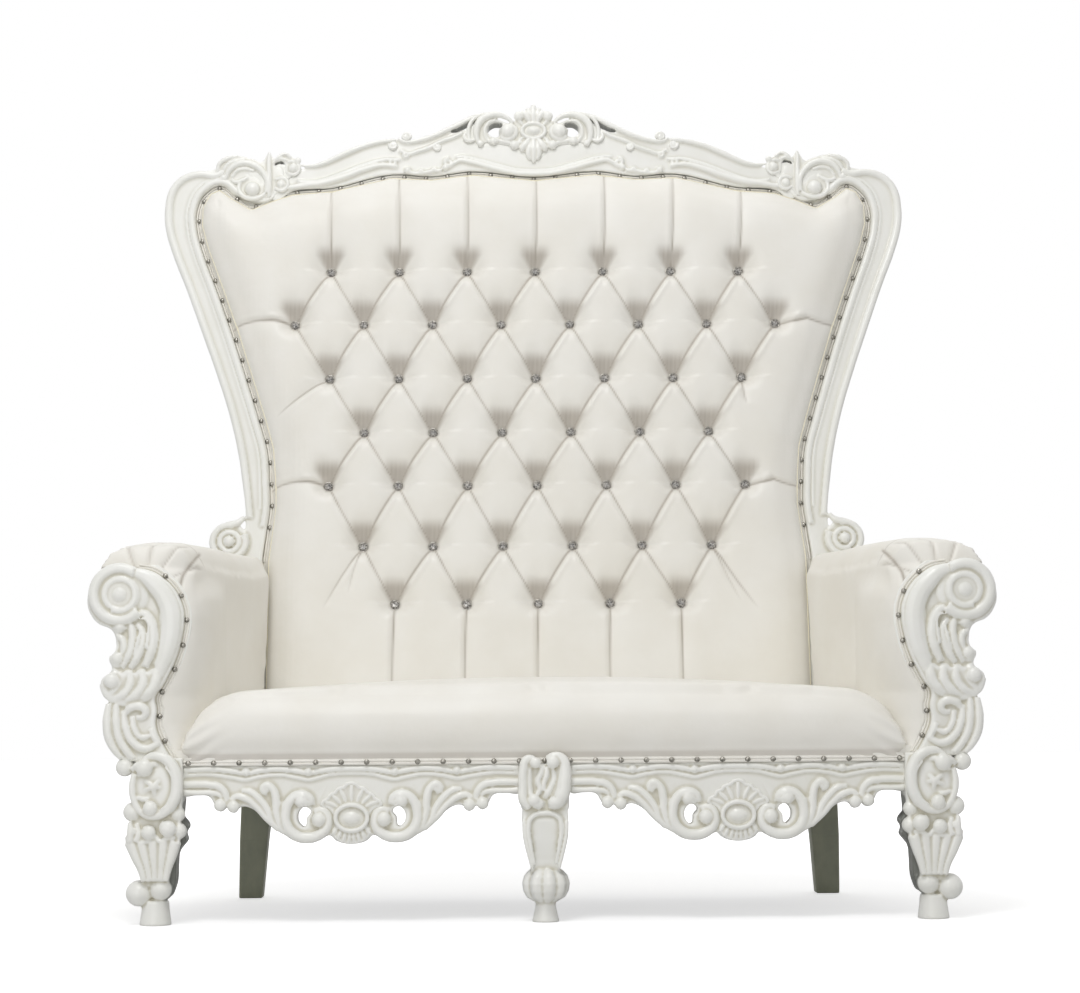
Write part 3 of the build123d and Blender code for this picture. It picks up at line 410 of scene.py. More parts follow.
# Painted shade: walls of pierced carving that face down are turned dark grey.
def shade_undersides(mesh, place, below):
    """The walls of pierced carving that face down look dark in the photograph."""
    turn = np.array(place.inverted())
    height = points_of(mesh) @ turn[2, :3] + turn[2, 3]
    facing = normals_of(mesh) @ turn[:3, :3].T
    downwards = -facing[:, 1] / np.linalg.norm(facing, axis=1)
    store(mesh, "painted_side_shade", 0.75 * smooth_step(downwards, 0.25, 0.65) * smooth_step(below - height, 0, 5))
    return mesh


def finish(piece, *replaced, slot):
    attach(piece, "root")
    if replaced:
        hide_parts(*replaced)
    return piece


def mirror_mesh(mesh):
    """A copy turned to the other side of the chair, with its faces still pointing out."""
    other = mesh.copy()
    other.transform(Matrix.Scale(-1, 4, (1, 0, 0)))
    other.flip_normals()
    return other


def both_sides(name, mesh, *replaced, slot, node_sides=("right", "left")):
    for side, form in zip(node_sides, (mesh, mirror_mesh(mesh))):
        piece = new_piece(f"{name}_{side}", form, slot)
        finish(piece, *(f"{node}_{side}" for node in replaced), slot=slot)


# Paths


def beside(path, amount):
    """A path moved sideways, to the left of its direction."""
    moved = []
    for i, here in enumerate(path):
        before = path[max(i - 1, 0)]
        after = path[min(i + 1, len(path) - 1)]
        run = hypot(after[0] - before[0], after[1] - before[1])
        moved.append((
            here[0] + (before[1] - after[1]) / run * amount,
            here[1] + (after[0] - before[0]) / run * amount,
        ))
    return moved


def thickened(path, start, middle, end):
    """The same path with a radius at each point that swells from start to middle and tapers to end."""
    last = len(path) - 1
    drawn = []
    for i, (a, b) in enumerate(path):
        share = i / last
        radius = start + (middle - start) * share * 2 if share < 0.5 else middle + (end - middle) * (share * 2 - 1)
        drawn.append((a, b, radius))
    return drawn


def spiral(centre, outer, inner, start, turns, thick, thin):
    """A scroll that winds in round its centre, from a start angle in degrees."""
    steps = max(6, int(abs(turns) * 12))
    drawn = []
    for i in range(steps + 1):
        share = i / steps
        angle = radians(start) + 2 * pi * turns * share
        reach = outer + (inner - outer) * share
        drawn.append((centre[0] + reach * cos(angle), centre[1] + reach * sin(angle),
                      thick + (thin - thick) * share))
    return drawn


def flipped(path):
    """A path turned to the other side of its own plane."""
    return [(-point[0], *point[1:]) for point in path]


class Carving:
    """The boards, strokes and balls of one carved piece, drawn in the plane of its face."""

    def __init__(self, place, face=0.0):
        self.place = place
        self.face = face
        self.shape = bmesh.new()

    def take(self, mesh, turn=None):
        if turn is not None:
            mesh.transform(turn)
        self.shape.from_mesh(mesh)
        bpy.data.meshes.remove(mesh)

    def board(self, loops, low, high, rounding=0.0):
        """A board between two depths; loops after the first are holes through it."""
        data = bpy.data.curves.new("board", "CURVE")
        data.dimensions = "2D"
        data.fill_mode = "BOTH"
        data.extrude = (high - low) / 2 - rounding
        data.bevel_depth = rounding
        data.bevel_resolution = 2
        data.offset = -rounding
        for loop in loops:
            spline = data.splines.new("BEZIER")
            spline.bezier_points.add(len(loop) - 1)
            spline.use_cyclic_u = True
            spline.resolution_u = 5
            for point, place in zip(spline.bezier_points, loop):
                kind = "VECTOR" if len(place) > 2 else "AUTO"
                point.handle_left_type = kind
                point.handle_right_type = kind
                point.co = (place[0], place[1], 0)
        self.take(curve_mesh(data), Matrix.Translation((0, 0, (high + low) / 2)))

    def strokes(self, *lines, lift=0.2, face=None, sides=3, flat=1.0):
        """Rounded bars along paths of points with a radius, resting on the face."""
        ground = self.face if face is None else face
        data = bpy.data.curves.new("strokes", "CURVE")
        data.dimensions = "3D"
        data.bevel_depth = 1.0
        data.bevel_resolution = sides
        data.use_fill_caps = True
        for line in lines:
            spline = data.splines.new("BEZIER")
            spline.bezier_points.add(len(line) - 1)
            spline.resolution_u = 4
            for point, place in zip(spline.bezier_points, line):
                point.handle_left_type = "AUTO"
                point.handle_right_type = "AUTO"
                point.co = (place[0], place[1], lift * place[2])
                point.radius = place[2]
        turn = Matrix.Translation((0, 0, ground)) @ Matrix.Diagonal((1, 1, flat, 1))
        self.take(curve_mesh(data), turn)

    def balls(self, *places, lift=0.25, face=None, squash=0.75):
        """Domes at points with a radius."""
        ground = self.face if face is None else face
        for a, b, radius in places:
            turn = Matrix.Translation((a, b, ground + lift * radius)) @ Matrix.Diagonal((1, 1, squash, 1))
            bmesh.ops.create_uvsphere(self.shape, u_segments=24, v_segments=14, radius=radius, matrix=turn)

    def oval(self, centre, half_a, half_b, out, lift=0.0):
        turn = Matrix.Translation((*centre, self.face + lift)) @ Matrix.Diagonal((half_a, half_b, out, 1))
        bmesh.ops.create_uvsphere(self.shape, u_segments=32, v_segments=16, radius=1, matrix=turn)

    def ring(self, centre, half_a, half_b, thick, lift=0.2, start=0, turns=1.0):
        """A raised oval ring, or a part of one."""
        steps = 20
        line = []
        for i in range(steps + 1):
            angle = radians(start) + 2 * pi * turns * i / steps
            line.append((centre[0] + half_a * cos(angle), centre[1] + half_b * sin(angle), thick))
        self.strokes(line, lift=lift)

    def leaf(self, spine, tips, width, spread=0.45, lift=0.25):
        """An acanthus leaf: ribs that leave the spine in turn and curl outwards at their tips."""
        count = len(tips)
        lines = []
        for i, tip in enumerate(tips):
            at = spread * i / max(count, 1)
            start = self.along(spine, at)
            middle = self.along(spine, min(at + 0.35, 1))
            bend = ((middle[0] + tip[0]) / 2, (middle[1] + tip[1]) / 2)
            lines.append([
                (*start, width * 0.55), (*middle, width), (*bend, width * 0.95), (tip[0], tip[1], width * 0.5),
            ])
        self.strokes(*lines, lift=lift)

    @staticmethod
    def along(path, share):
        """A point at a share of a path's length."""
        runs = [hypot(b[0] - a[0], b[1] - a[1]) for a, b in zip(path, path[1:])]
        left = share * sum(runs)
        for (a, b), run in zip(zip(path, path[1:]), runs):
            if left <= run:
                return a[0] + (b[0] - a[0]) * left / run, a[1] + (b[1] - a[1]) * left / run
            left -= run
        return path[-1][0], path[-1][1]

    def mesh(self, voxel=2.3, smooth=4, keep=0.5):
        """One closed skin over all that was drawn, in metres in its place on the chair."""
        drawn = bpy.data.meshes.new("carving")
        self.shape.to_mesh(drawn)
        self.shape.free()
        even = shape_with(
            drawn,
            ("REMESH", {"mode": "VOXEL", "voxel_size": voxel}),
            ("SMOOTH", {"factor": 0.5, "iterations": smooth}),
        )
        even.transform(self.place)
        mark_recess_shade(even)
        skin = without_crumbs(shape_with(even, ("DECIMATE", {"ratio": keep})))
        shade_smooth(skin)
        return skin


def linked_parts(whole):
    """The sets of points that hang together."""
    seen = set()
    parts = []
    for first in whole.verts:
        if first in seen:
            continue
        group = [first]
        seen.add(first)
        for vertex in group:
            for edge in vertex.link_edges:
                other = edge.other_vert(vertex)
                if other not in seen:
                    seen.add(other)
                    group.append(other)
        parts.append(group)
    return parts


def without_crumbs(mesh, least=150):
    """The same mesh without the specks that a thin tip leaves in a voxel skin."""
    whole = bmesh.new()
    whole.from_mesh(mesh)
    crumbs = [vertex for part in linked_parts(whole) if len(part) < least for vertex in part]
    bmesh.ops.delete(whole, geom=crumbs, context="VERTS")
    whole.to_mesh(mesh)
    whole.free()
    return mesh


# Places read from the frame


def merged_copy(*names):
    """The joined mesh of some CAD nodes, with its loose triangles sewn together."""
    sewn = bmesh.new()
    for name in names:
        sewn.from_mesh(nodes[name].data)
    bmesh.ops.remove_doubles(sewn, verts=sewn.verts, dist=0.000002)
    return sewn


def solids_of(name):
    """The middle of each separate solid of a CAD node, in metres."""
    sewn = merged_copy(name)
    middles = []
    for group in linked_parts(sewn):
        low = Vector(min(v.co[i] for v in group) for i in range(3))
        high = Vector(max(v.co[i] for v in group) for i in range(3))
        middles.append((low + high) / 2)
    sewn.free()
    return middles


def on_plane(place, points):
    """Points in metres as places on a plane, in millimetres."""
    inverse = place.inverted()
    return [tuple(inverse @ point)[:2] for point in points]


button_places = on_plane(back_place, solids_of("button_cups"))
back_nail_places = on_plane(back_place, solids_of("back_nails"))
seat_nail_places = on_plane(apron_face, solids_of("seat_nails"))
arm_step = front_place(-0.397)
arm_nail_places = on_plane(arm_step, solids_of("arm_nails"))


# Back upholstery

# The opening of the back frame, up the right side from the seat, over the shoulder to the middle
opening_half = [
    (609, 34), (609, 447), (600, 525), (595, 569), (597, 633), (603, 702), (620, 764), (653, 870),
    (685, 969), (724, 1080), (761, 1180), (775, 1234), (775, 1284), (755, 1322), (725, 1336), (693, 1312),
    (652, 1287), (610, 1305), (560, 1322), (468, 1330), (329, 1363), (238, 1358), (143, 1370), (0, 1356),
]
leather_step = 3.4           # spacing of the leather's points
pad_crown = 56.0
flange_face = -3.0
rebate_floor = -6.0
gimp_reach = 7.0             # how far in from the opening's edge the gimp covers the leather
pad_round = 112.0
button_seat = 26.0
well_reach = 29.0
row_gap = 40.0               # buttons nearer than this in height are in one row
fold_reach = 60.0
# Painted shade on the leather where it hangs over each button, at most this dark.
wedge_shade = 0.84            # how dark the leather looks where it hangs over a button


def whole_loop(half):
    return half + [(-x, v) for x, v in reversed(half[:-1])]


def edge_distance(x, v, loop):
    """How far points lie inside a closed outline; negative outside it."""
    nearest = np.full(len(x), 1e9)
    inside = np.zeros(len(x), bool)
    for (ax, av), (bx, bv) in zip(loop, loop[1:] + loop[:1]):
        dx, dv = bx - ax, bv - av
        share = np.clip(((x - ax) * dx + (v - av) * dv) / (dx * dx + dv * dv), 0, 1)
        nearest = np.minimum(nearest, np.hypot(x - ax - share * dx, v - av - share * dv))
        if dv:
            inside ^= ((av > v) != (bv > v)) & (x < dx * (v - av) / dv + ax)
    return np.where(inside, nearest, -nearest)


def button_rows():
    """The buttons in rows from the top, each row from left to right."""
    rows = []
    for place in sorted(button_places, key=lambda place: -place[1]):
        if not rows or abs(rows[-1][0][1] - place[1]) > row_gap:
            rows.append([])
        rows[-1].append(place)
    return [sorted(row) for row in rows]


def pleats():
    """Folds between buttons and out to the frame: start, end, depth mid-way, at its ends, and its side."""
    rows = button_rows()
    drawn = []
    for upper, lower in zip(rows, rows[1:]):
        pitch = upper[1][0] - upper[0][0]
        for a in upper:
            for b in lower:
                if abs(a[0] - b[0]) < pitch * 0.75:
                    rising = a[0] > b[0]
                    drawn.append((a, b, 10.5 if rising else 7.0, 17.0, 17.0, 1 if rising else -1))
    for x, v in rows[0]:
        drawn.append(((x, v), (x * 1.02 + 4, 1362), 6.0, 17.0, 7.0, 1))
    for x, v in rows[-1]:
        drawn.append(((x, v), (x * 1.01, 34), 6.5, 17.0, 6.0, -1))
    for row, reach in ((rows[1], 690), (rows[4], 592)):
        for side, (x, v) in ((-1, row[0]), (1, row[-1])):
            middle = ((x + side * reach) / 2, v + 9)
            drawn.append(((x, v), middle, 9.0, 17.0, 8.0, side))
            drawn.append((middle, (side * reach, v - 2), 7.0, 8.0, 5.0, side))
    loose = (
        (rows[2][0], (-584, 772), 8.0), (rows[2][-1], (474, 792), 6.0), (rows[5][0], (-474, 330), 6.5),
        (rows[5][-1], (486, 322), 6.5), (rows[5][0], (-420, 360), 4.0), (rows[5][-1], (448, 338), 4.0),
    )
    for start, end, depth in loose:
        drawn.append((start, end, depth, 15.0, 0.0, 1 if end[0] < 0 else -1))
    return drawn


def smooth_step(value, low, high):
    share = np.clip((value - low) / (high - low), 0, 1)
    return share * share * (3 - 2 * share)


def dome(inside):
    """Height of the leather by its distance from the opening's edge."""
    share = np.clip((inside - gimp_reach * 0.6) / pad_round, 0, 1)
    return flange_face + (pad_crown - flange_face) * (1 - (1 - share) ** 2.8) ** 0.62


def eased_dome(x, v, inside):
    """The dome without the ridges that run in from the corners of the opening."""
    step = 12.0
    across = np.arange(-804, 805, step)
    up = np.arange(-24, 1429, step)
    grid_x, grid_v = np.meshgrid(across, up)
    far_in = edge_distance(grid_x.ravel(), grid_v.ravel(), whole_loop(opening_half))
    height = dome(far_in).reshape(grid_x.shape)
    for _ in range(14):
        wide = np.pad(height, 1, mode="edge")
        height = (wide[:-2, 1:-1] + wide[2:, 1:-1] + wide[1:-1, :-2] + wide[1:-1, 2:] + 4 * height) / 8
    column = np.clip(((x - across[0]) / step).astype(int), 0, len(across) - 2)
    row = np.clip(((v - up[0]) / step).astype(int), 0, len(up) - 2)
    right = (x - across[column]) / step
    above = (v - up[row]) / step
    low = height[row, column] * (1 - right) + height[row, column + 1] * right
    high = height[row + 1, column] * (1 - right) + height[row + 1, column + 1] * right
    smooth = low * (1 - above) + high * above
    sharp = dome(inside)
    return sharp + (smooth - sharp) * smooth_step(inside, 12, 50)


def back_leather_form(x, v):
    """Height of the leather over the back's plane, and its painted shade: in its creases, round its buttons and
    where it hangs over them.
    """
    inside = edge_distance(x, v, whole_loop(opening_half))
    base = eased_dome(x, v, inside)
    fullness = np.clip((base - flange_face) / (pad_crown - flange_face), 0, 1)
    well = np.zeros(len(x))
    shade = np.zeros(len(x))
    wrinkle = np.zeros(len(x))
    hanging = np.zeros(len(x))
    for i, (bx, bv) in enumerate(button_places):
        near = np.nonzero((abs(x - bx) < 95) & (abs(v - bv) < 110))[0]
        dx, dv = x[near] - bx, v[near] - bv
        reach = np.hypot(dx * np.where(dv > 0, 0.85, 1.05), dv * np.where(dv > 0, 0.56, 1.25))
        turned = np.hypot(dx, dv)
        depth = (pad_crown - button_seat) * np.exp(-(reach / well_reach) ** 2.1)
        well[near] = np.maximum(well[near], depth)
        between = 1 - smooth_step(abs(dx) / np.clip(0.55 * dv + 7, 7, 27), 0.55, 1.50)
        wedge = between * smooth_step(dv, 1, 8) * (1 - smooth_step(dv, 34, 66))
        wedge *= 0.93 + 0.045 * np.sin(dx * 0.61 + 2.1 * i) + 0.045 * np.sin(dx * 1.13 + dv * 0.05 + i)
        hanging[near] = np.maximum(hanging[near], wedge)
        around = np.arctan2(dv, dx)
        ripple = np.cos(9 * around + i) + 0.6 * np.cos(14 * around + 2.3 * i)
        wrinkle[near] += 0.55 * ripple * np.exp(-((turned - 19) / 13) ** 2)
        # Painted shade in a ring round each button.
        shade[near] = np.maximum(shade[near], 0.75 * np.exp(-(np.maximum(turned - 10, 0) / 3.5) ** 2))
    fold = np.zeros(len(x))
    ridge = np.zeros(len(x))
    for (ax, av), (bx, bv), middle, first, last, side in pleats():
        run = hypot(bx - ax, bv - av)
        near = np.nonzero(
            (x > min(ax, bx) - fold_reach) & (x < max(ax, bx) + fold_reach)
            & (v > min(av, bv) - fold_reach) & (v < max(av, bv) + fold_reach))[0]
        dx, dv = x[near] - ax, v[near] - av
        along = (dx * (bx - ax) + dv * (bv - av)) / run
        held = np.clip(along / run, 0, 1)
        bowed = 3.0 * np.sin(pi * held) * side
        off = (dv * (bx - ax) - dx * (bv - av)) / run * side + bowed
        past = np.maximum(np.maximum(-along, along - run), 0)
        deep = middle + (first - middle) * np.clip(1 - 2 * held, 0, 1) ** 2
        deep = deep + (last - middle) * np.clip(2 * held - 1, 0, 1) ** 2
        gap = np.where(off > 0, off / 8.0, -off / 17.0)
        fade = np.exp(-(past / 7.0) ** 2)
        fold[near] = np.maximum(fold[near], deep * np.exp(-gap ** 1.1) * fade)
        lip = np.exp(-((off - 10.0) / 6.0) ** 2) * fade * np.sin(pi * held) ** 0.6
        ridge[near] = np.maximum(ridge[near], lip * deep * (0.34 if middle > 8 else 0.24))
        # Painted shade along each fold.
        line = np.exp(-(off / (2.7 if middle > 8 else 2.1)) ** 2) * fade * np.clip(deep / 9, 0, 1)
        shade[near] = np.maximum(shade[near], line)
    # Painted shade where the leather hangs over a button.
    shade = np.maximum(shade, wedge_shade * hanging)
    drop = (well ** 3 + (fold * np.clip(fullness, 0.15, 1)) ** 3) ** (1 / 3)
    slack = 0.9 * np.sin(x / 67 + 1.3) * np.sin(v / 49 + 0.4) + 0.5 * np.sin(x / 27 + v / 35)
    height = base - drop + (ridge + wrinkle + slack) * fullness
    return np.maximum(height, flange_face), shade


def make_back_leather():
    loop = whole_loop(opening_half)
    half_width = max(x for x, v in loop) + 3 * leather_step
    top = max(v for x, v in loop) + 3 * leather_step
    sheet = bmesh.new()
    bmesh.ops.create_grid(sheet, x_segments=int(2 * half_width / leather_step),
                          y_segments=int(top / leather_step), size=1)
    turn = Matrix.Translation((0, top / 2, 0)) @ Matrix.Diagonal((half_width, top / 2, 1, 1))
    bmesh.ops.transform(sheet, matrix=turn, verts=sheet.verts)
    x = np.array([vertex.co.x for vertex in sheet.verts])
    v = np.array([vertex.co.y for vertex in sheet.verts])
    inside = edge_distance(x, v, loop)
    kept = inside > -2.6
    outside = [vertex for vertex, keep in zip(sheet.verts, kept) if not keep]
    bmesh.ops.delete(sheet, geom=outside, context="VERTS")
    rim = [edge for edge in sheet.edges if edge.is_boundary]
    turned_in = bmesh.ops.extrude_edge_only(sheet, edges=rim)["geom"]
    hem = [item for item in turned_in if isinstance(item, bmesh.types.BMVert)]
    sheet.verts.index_update()
    hem_marks = {vertex.index for vertex in hem}
    mesh = bpy.data.meshes.new("back_leather")
    sheet.to_mesh(mesh)
    sheet.free()
    places = points_of(mesh)
    height, shade = back_leather_form(places[:, 0], places[:, 1])
    height[list(hem_marks)] = rebate_floor + 0.3
    places[:, 2] = height
    put_points(mesh, places)
    mesh.transform(back_place)
    shade_smooth(mesh)
    # The painted shade is stored for the leather's colour.
    store(mesh, "leather_painted_shade", shade * 0.8)
    piece = new_piece("back_leather", mesh, "white_leather")
    finish(piece, "back_cover", slot="white_leather")


# Small repeated pieces


def repeated(name, form, turns, slot, *replaced):
    """One piece of many copies of a small form, each put in its place."""
    whole = bmesh.new()
    for turn in turns:
        copy = form.copy()
        copy.transform(turn)
        whole.from_mesh(copy)
        bpy.data.meshes.remove(copy)
    mesh = bpy.data.meshes.new(name)
    whole.to_mesh(mesh)
    whole.free()
    piece = new_piece(name, mesh, slot)
    return finish(piece, *replaced, slot=slot)


def nail_form():
    """A domed nail head with a thin rim."""
    head = bmesh.new()
    dome = Matrix.Diagonal((5.4, 5.4, 3.9, 1))
    bmesh.ops.create_uvsphere(head, u_segments=14, v_segments=10, radius=1, matrix=dome)
    everything = head.verts[:] + head.edges[:] + head.faces[:]
    bmesh.ops.bisect_plane(head, geom=everything, plane_co=(0, 0, 0.1), plane_no=(0, 0, 1), clear_inner=True)
    rim = [edge for edge in head.edges if edge.is_boundary]
    skirt = bmesh.ops.extrude_edge_only(head, edges=rim)["geom"]
    foot = [item for item in skirt if isinstance(item, bmesh.types.BMVert)]
    bmesh.ops.translate(head, verts=foot, vec=(0, 0, -1.6))
    bmesh.ops.contextual_create(head, geom=[edge for edge in head.edges if edge.is_boundary])
    bmesh.ops.recalc_face_normals(head, faces=head.faces)
    mesh = bpy.data.meshes.new("nail")
    head.to_mesh(mesh)
    head.free()
    shade_smooth(mesh)
    return mesh


def set_nails(name, place, points, face, node):
    turns = [place @ Matrix.Translation((a, b, face)) for a, b in points]
    repeated(name, nail_form(), turns, "nail_metal", node)


def crystal_form():
    """A round cut crystal: a girdle, a ring of crown facets and a flat table."""
    stone = bmesh.new()
    low = Matrix.Translation((0, 0, 0.8))
    bmesh.ops.create_cone(stone, cap_ends=True, segments=10, radius1=8.2, radius2=9.6, depth=1.6, matrix=low)
    high = Matrix.Translation((0, 0, 3.3))
    crown = bmesh.ops.create_cone(
        stone, cap_ends=True, segments=10, radius1=9.6, radius2=5.2, depth=3.4, matrix=high)["verts"]
    faces = {face for vertex in crown for face in vertex.link_faces}
    slopes = [face for face in faces if abs(face.normal.z) < 0.98]
    bmesh.ops.poke(stone, faces=slopes, offset=0.35)
    table = [face for face in faces if face.is_valid and face.normal.z > 0.98 and face.calc_center_median().z > 4]
    bmesh.ops.poke(stone, faces=table, offset=0.15)
    mesh = bpy.data.meshes.new("stone")
    stone.to_mesh(mesh)
    stone.free()
    return mesh


def ring_form(radius, thick):
    ring = Carving(Matrix.Identity(4))
    ring.ring((0, 0), radius, radius, thick, lift=0)
    mesh = bpy.data.meshes.new("ring")
    ring.shape.to_mesh(mesh)
    ring.shape.free()
    shade_smooth(mesh)
    return mesh


def make_buttons():
    turns = [back_place @ Matrix.Translation((x, v, button_seat + 2.6)) @ Matrix.Rotation(0.7 * i, 4, "Z")
             for i, (x, v) in enumerate(button_places)]
    stones = repeated("crystals", crystal_form(), turns, "crystal", "button_crystals")
    # Painted reflections: each facet gets a lightness unlike its neighbours'.
    shades = [(i * 37 % 11) / 10 for i in range(len(stones.data.polygons))]
    made = stones.data.attributes.new("facet", "FLOAT", "FACE")
    made.data.foreach_set("value", shades)
    repeated("button_rims", ring_form(10.4, 1.9), turns, "nail_metal", "button_cups")


def soft_lines(name, place, face, lines, slot, *replaced, lift=0.3):
    """Cords and welts along lines, left as smooth tubes."""
    drawn = Carving(place, face)
    drawn.strokes(*lines, lift=lift)
    mesh = bpy.data.meshes.new(name)
    drawn.shape.to_mesh(mesh)
    drawn.shape.free()
    mesh.transform(place)
    shade_smooth(mesh)
    piece = new_piece(name, mesh, slot)
    return finish(piece, *replaced, slot=slot)


welt_radius = 2.2
welt_gap = 2.7               # from the nail line to each welt's middle


def welts_along(path):
    return [[(a, b, welt_radius) for a, b in beside(path, side * welt_gap)] for side in (-1, 1)]


def make_trims():
    right = beside(opening_half[1:], 1.5)
    path = right[:-1] + [(0, right[-1][1])] + [(-x, v) for x, v in reversed(right[:-1])]
    soft_lines("back_welts", back_place, flange_face, welts_along(path), "white_leather", "back_gimp")
    set_nails("back_nail_heads", back_place, back_nail_places, 0.4, "back_nails")
    seat_line = [(x * 704 / 8, 311.5) for x in range(-8, 9)]
    soft_lines("seat_welts", apron_face, 0.0, welts_along(seat_line), "white_leather", "seat_gimp")
    set_nails("seat_nail_heads", apron_face, seat_nail_places, 3.2, "seat_nails")
    edge = beside(arm_edge, 5.5)
    lines = welts_along(edge) + [flipped(line) for line in welts_along(edge)]
    soft_lines("arm_welts", arm_step, 0.0, lines, "white_leather", "arm_gimp")
    set_nails("arm_nail_heads", arm_step, arm_nail_places, 3.2, "arm_nails")


# Padded seat and arms

simulated_frames = 20


def closed_form(name, voxel, rounds, *node_names):
    """One closed skin round some CAD nodes, with its edges rounded."""
    sewn = merged_copy(*node_names)
    mesh = bpy.data.meshes.new(name)
    sewn.to_mesh(mesh)
    sewn.free()
    skin = shape_with(mesh, ("REMESH", {"mode": "VOXEL", "voxel_size": voxel}),
                      ("SMOOTH", {"factor": 0.5, "iterations": rounds}))
    whole = bmesh.new()
    whole.from_mesh(skin)
    bpy.data.meshes.remove(skin)
    parts = sorted(linked_parts(whole), key=len)
    rest = [vertex for part in parts[:-1] for vertex in part]
    bmesh.ops.delete(whole, geom=rest, context="VERTS")
    mesh = bpy.data.meshes.new(name)
    whole.to_mesh(mesh)
    whole.free()
    return mesh


def inflate(pieces, pressure):
    """Swells some pads by a cloth simulation and returns where their points end."""
    for piece in pieces:
        cloth = piece.modifiers.new("pad", "CLOTH")
        cloth.settings.quality = 5
        cloth.settings.mass = 0.3
        cloth.settings.tension_stiffness = 14
        cloth.settings.compression_stiffness = 14
        cloth.settings.shear_stiffness = 6
        cloth.settings.bending_stiffness = 0.6
        cloth.settings.use_pressure = True
        cloth.settings.uniform_pressure_force = pressure
        cloth.settings.effector_weights.gravity = 0
        cloth.point_cache.frame_start = 1
        cloth.point_cache.frame_end = simulated_frames
    for step in range(1, simulated_frames + 1):
        scene.frame_set(step)
    ends = []
    for piece in pieces:
        swollen = evaluated_mesh(piece)
        ends.append(points_of(swollen))
        bpy.data.meshes.remove(swollen)
        piece.modifiers.clear()
    scene.frame_set(1)
    return ends


def swollen(mesh, end, held, least, cap):
    """Points moved outwards as far as the simulation took them, between two limits, and less where held."""
    start = points_of(mesh)
    facing = normals_of(mesh)
    outwards = np.clip(((end - start) * facing).sum(1), least, cap)
    return start + facing * (outwards * held)[:, None]


def refined(mesh):
    return shape_with(mesh, ("SUBSURF", {"levels": 1, "render_levels": 1}))


def make_pads():
    seat = new_piece("seat_leather", closed_form("seat_leather", 0.0085, 12, "seat_cover", "seat_foam"))
    arm = new_piece("arm_leather", closed_form(
        "arm_leather", 0.0075, 26, "arm_cover_right", "arm_foam_right", "arm_rail_right", "arm_panel_right"))
    ends = inflate([seat, arm], 4)
    x, y, z = points_of(seat.data).T
    held = smooth_step(z, 0.33, 0.37) * smooth_step(-y, -0.13, -0.02)
    put_points(seat.data, swollen(seat.data, ends[0], held, 0.003, 0.014))
    x, y, z = points_of(arm.data).T
    put_points(arm.data, swollen(arm.data, ends[1], smooth_step(z, 0.34, 0.40), 0.008, 0.014))
    seat_mesh = refined(seat.data.copy())
    arm_mesh = refined(arm.data.copy())
    drop(seat)
    drop(arm)
    shape_seat(seat_mesh)
    shape_arm(arm_mesh)
    piece = new_piece("seat_leather", seat_mesh, "white_leather")
    finish(piece, "seat_cover", "seat_foam", slot="white_leather")
    for side, form in (("right", arm_mesh), ("left", mirror_mesh(arm_mesh))):
        piece = new_piece(f"arm_leather_{side}", form, "white_leather")
        finish(piece, f"arm_cover_{side}", f"arm_foam_{side}", slot="white_leather")
    skirt = Carving(apron_face)
    skirt.board([[(-702, 305.5, 1), (702, 305.5, 1), (702, 322.5, 1), (-702, 322.5, 1)]], -5.5, 0.8, 1.5)
    for turn in (1, -1):
        skirt.board([[(turn * x, z) for x, z in skirt_tab]], -5.5, -2.4, 0.8)
    mesh = bpy.data.meshes.new("seat_skirt")
    skirt.shape.to_mesh(mesh)
    skirt.shape.free()
    mesh.transform(apron_face)
    finish(new_piece("seat_skirt", mesh, "white_leather"), "seat_cover", slot="white_leather")


# The cover's end that is tucked in between the seat and an arm
skirt_tab = [(696, 310), (728, 312), (730, 326), (722, 334), (704, 336), (690, 330), (686, 318)]


def shape_seat(mesh):
    """The front roll's faint pulls, and painted shade along the line where the cover turns under."""
    places = points_of(mesh)
    x, y, z = places.T
    end = np.clip((abs(x) - 0.585) / 0.118, 0, 1) * smooth_step(-y, 0.16, 0.34)
    z -= np.maximum(z - 0.335, 0) * (1 - np.sqrt(1 - 0.96 * end ** 2))
    front = smooth_step(-y, 0.33, 0.40)
    pulls = 0.0011 * np.sin(x * 38 + 1.1) * np.sin(x * 13 + 0.5) * front * smooth_step(z, 0.33, 0.36)
    slack = 0.0018 * np.sin(x * 9 + 1.2) * np.sin(y * 14 + 0.7) * smooth_step(z, 0.40, 0.44)
    corner = smooth_step(abs(x), 0.60, 0.70) * front
    tucks = 0.0022 * np.sin((abs(x) * 0.6 + z) * 210) * corner
    places += normals_of(mesh) * (pulls + slack + tucks)[:, None]
    put_points(mesh, places)
    shade_smooth(mesh)
    # Painted shade below the line where the cover turns under.
    store(mesh, "leather_painted_shade", np.clip(smooth_step(-z, -0.335, -0.315), 0, 0.4))


# The pleats of an arm's front roll fan out from this point of the carved front
arm_roll_middle = (0.775, 0.640)
arm_pleat_angles = [66, 92, 118, 146]
# The seam over an arm's inner corner, from the nails up to the top, as seen from the front, sunk a little and drawn
# in painted shade
arm_seam = [(0.716, 0.650), (0.708, 0.678), (0.690, 0.702), (0.672, 0.720)]


def front_strip(z):
    """How far from the chair's middle the carved front's nail strip ends, at these heights."""
    heights = [height * mm for across, height in arm_edge]
    places = [(across - 8.7) * mm for across, height in arm_edge]
    return np.interp(z, heights, places)


front_seat = -0.3985         # where the arm's leather meets its nail strip
front_round = 0.230          # how far back the leather rolls from there to the arm's inner side


top_round = 0.045            # how far back it rolls over the arm's top


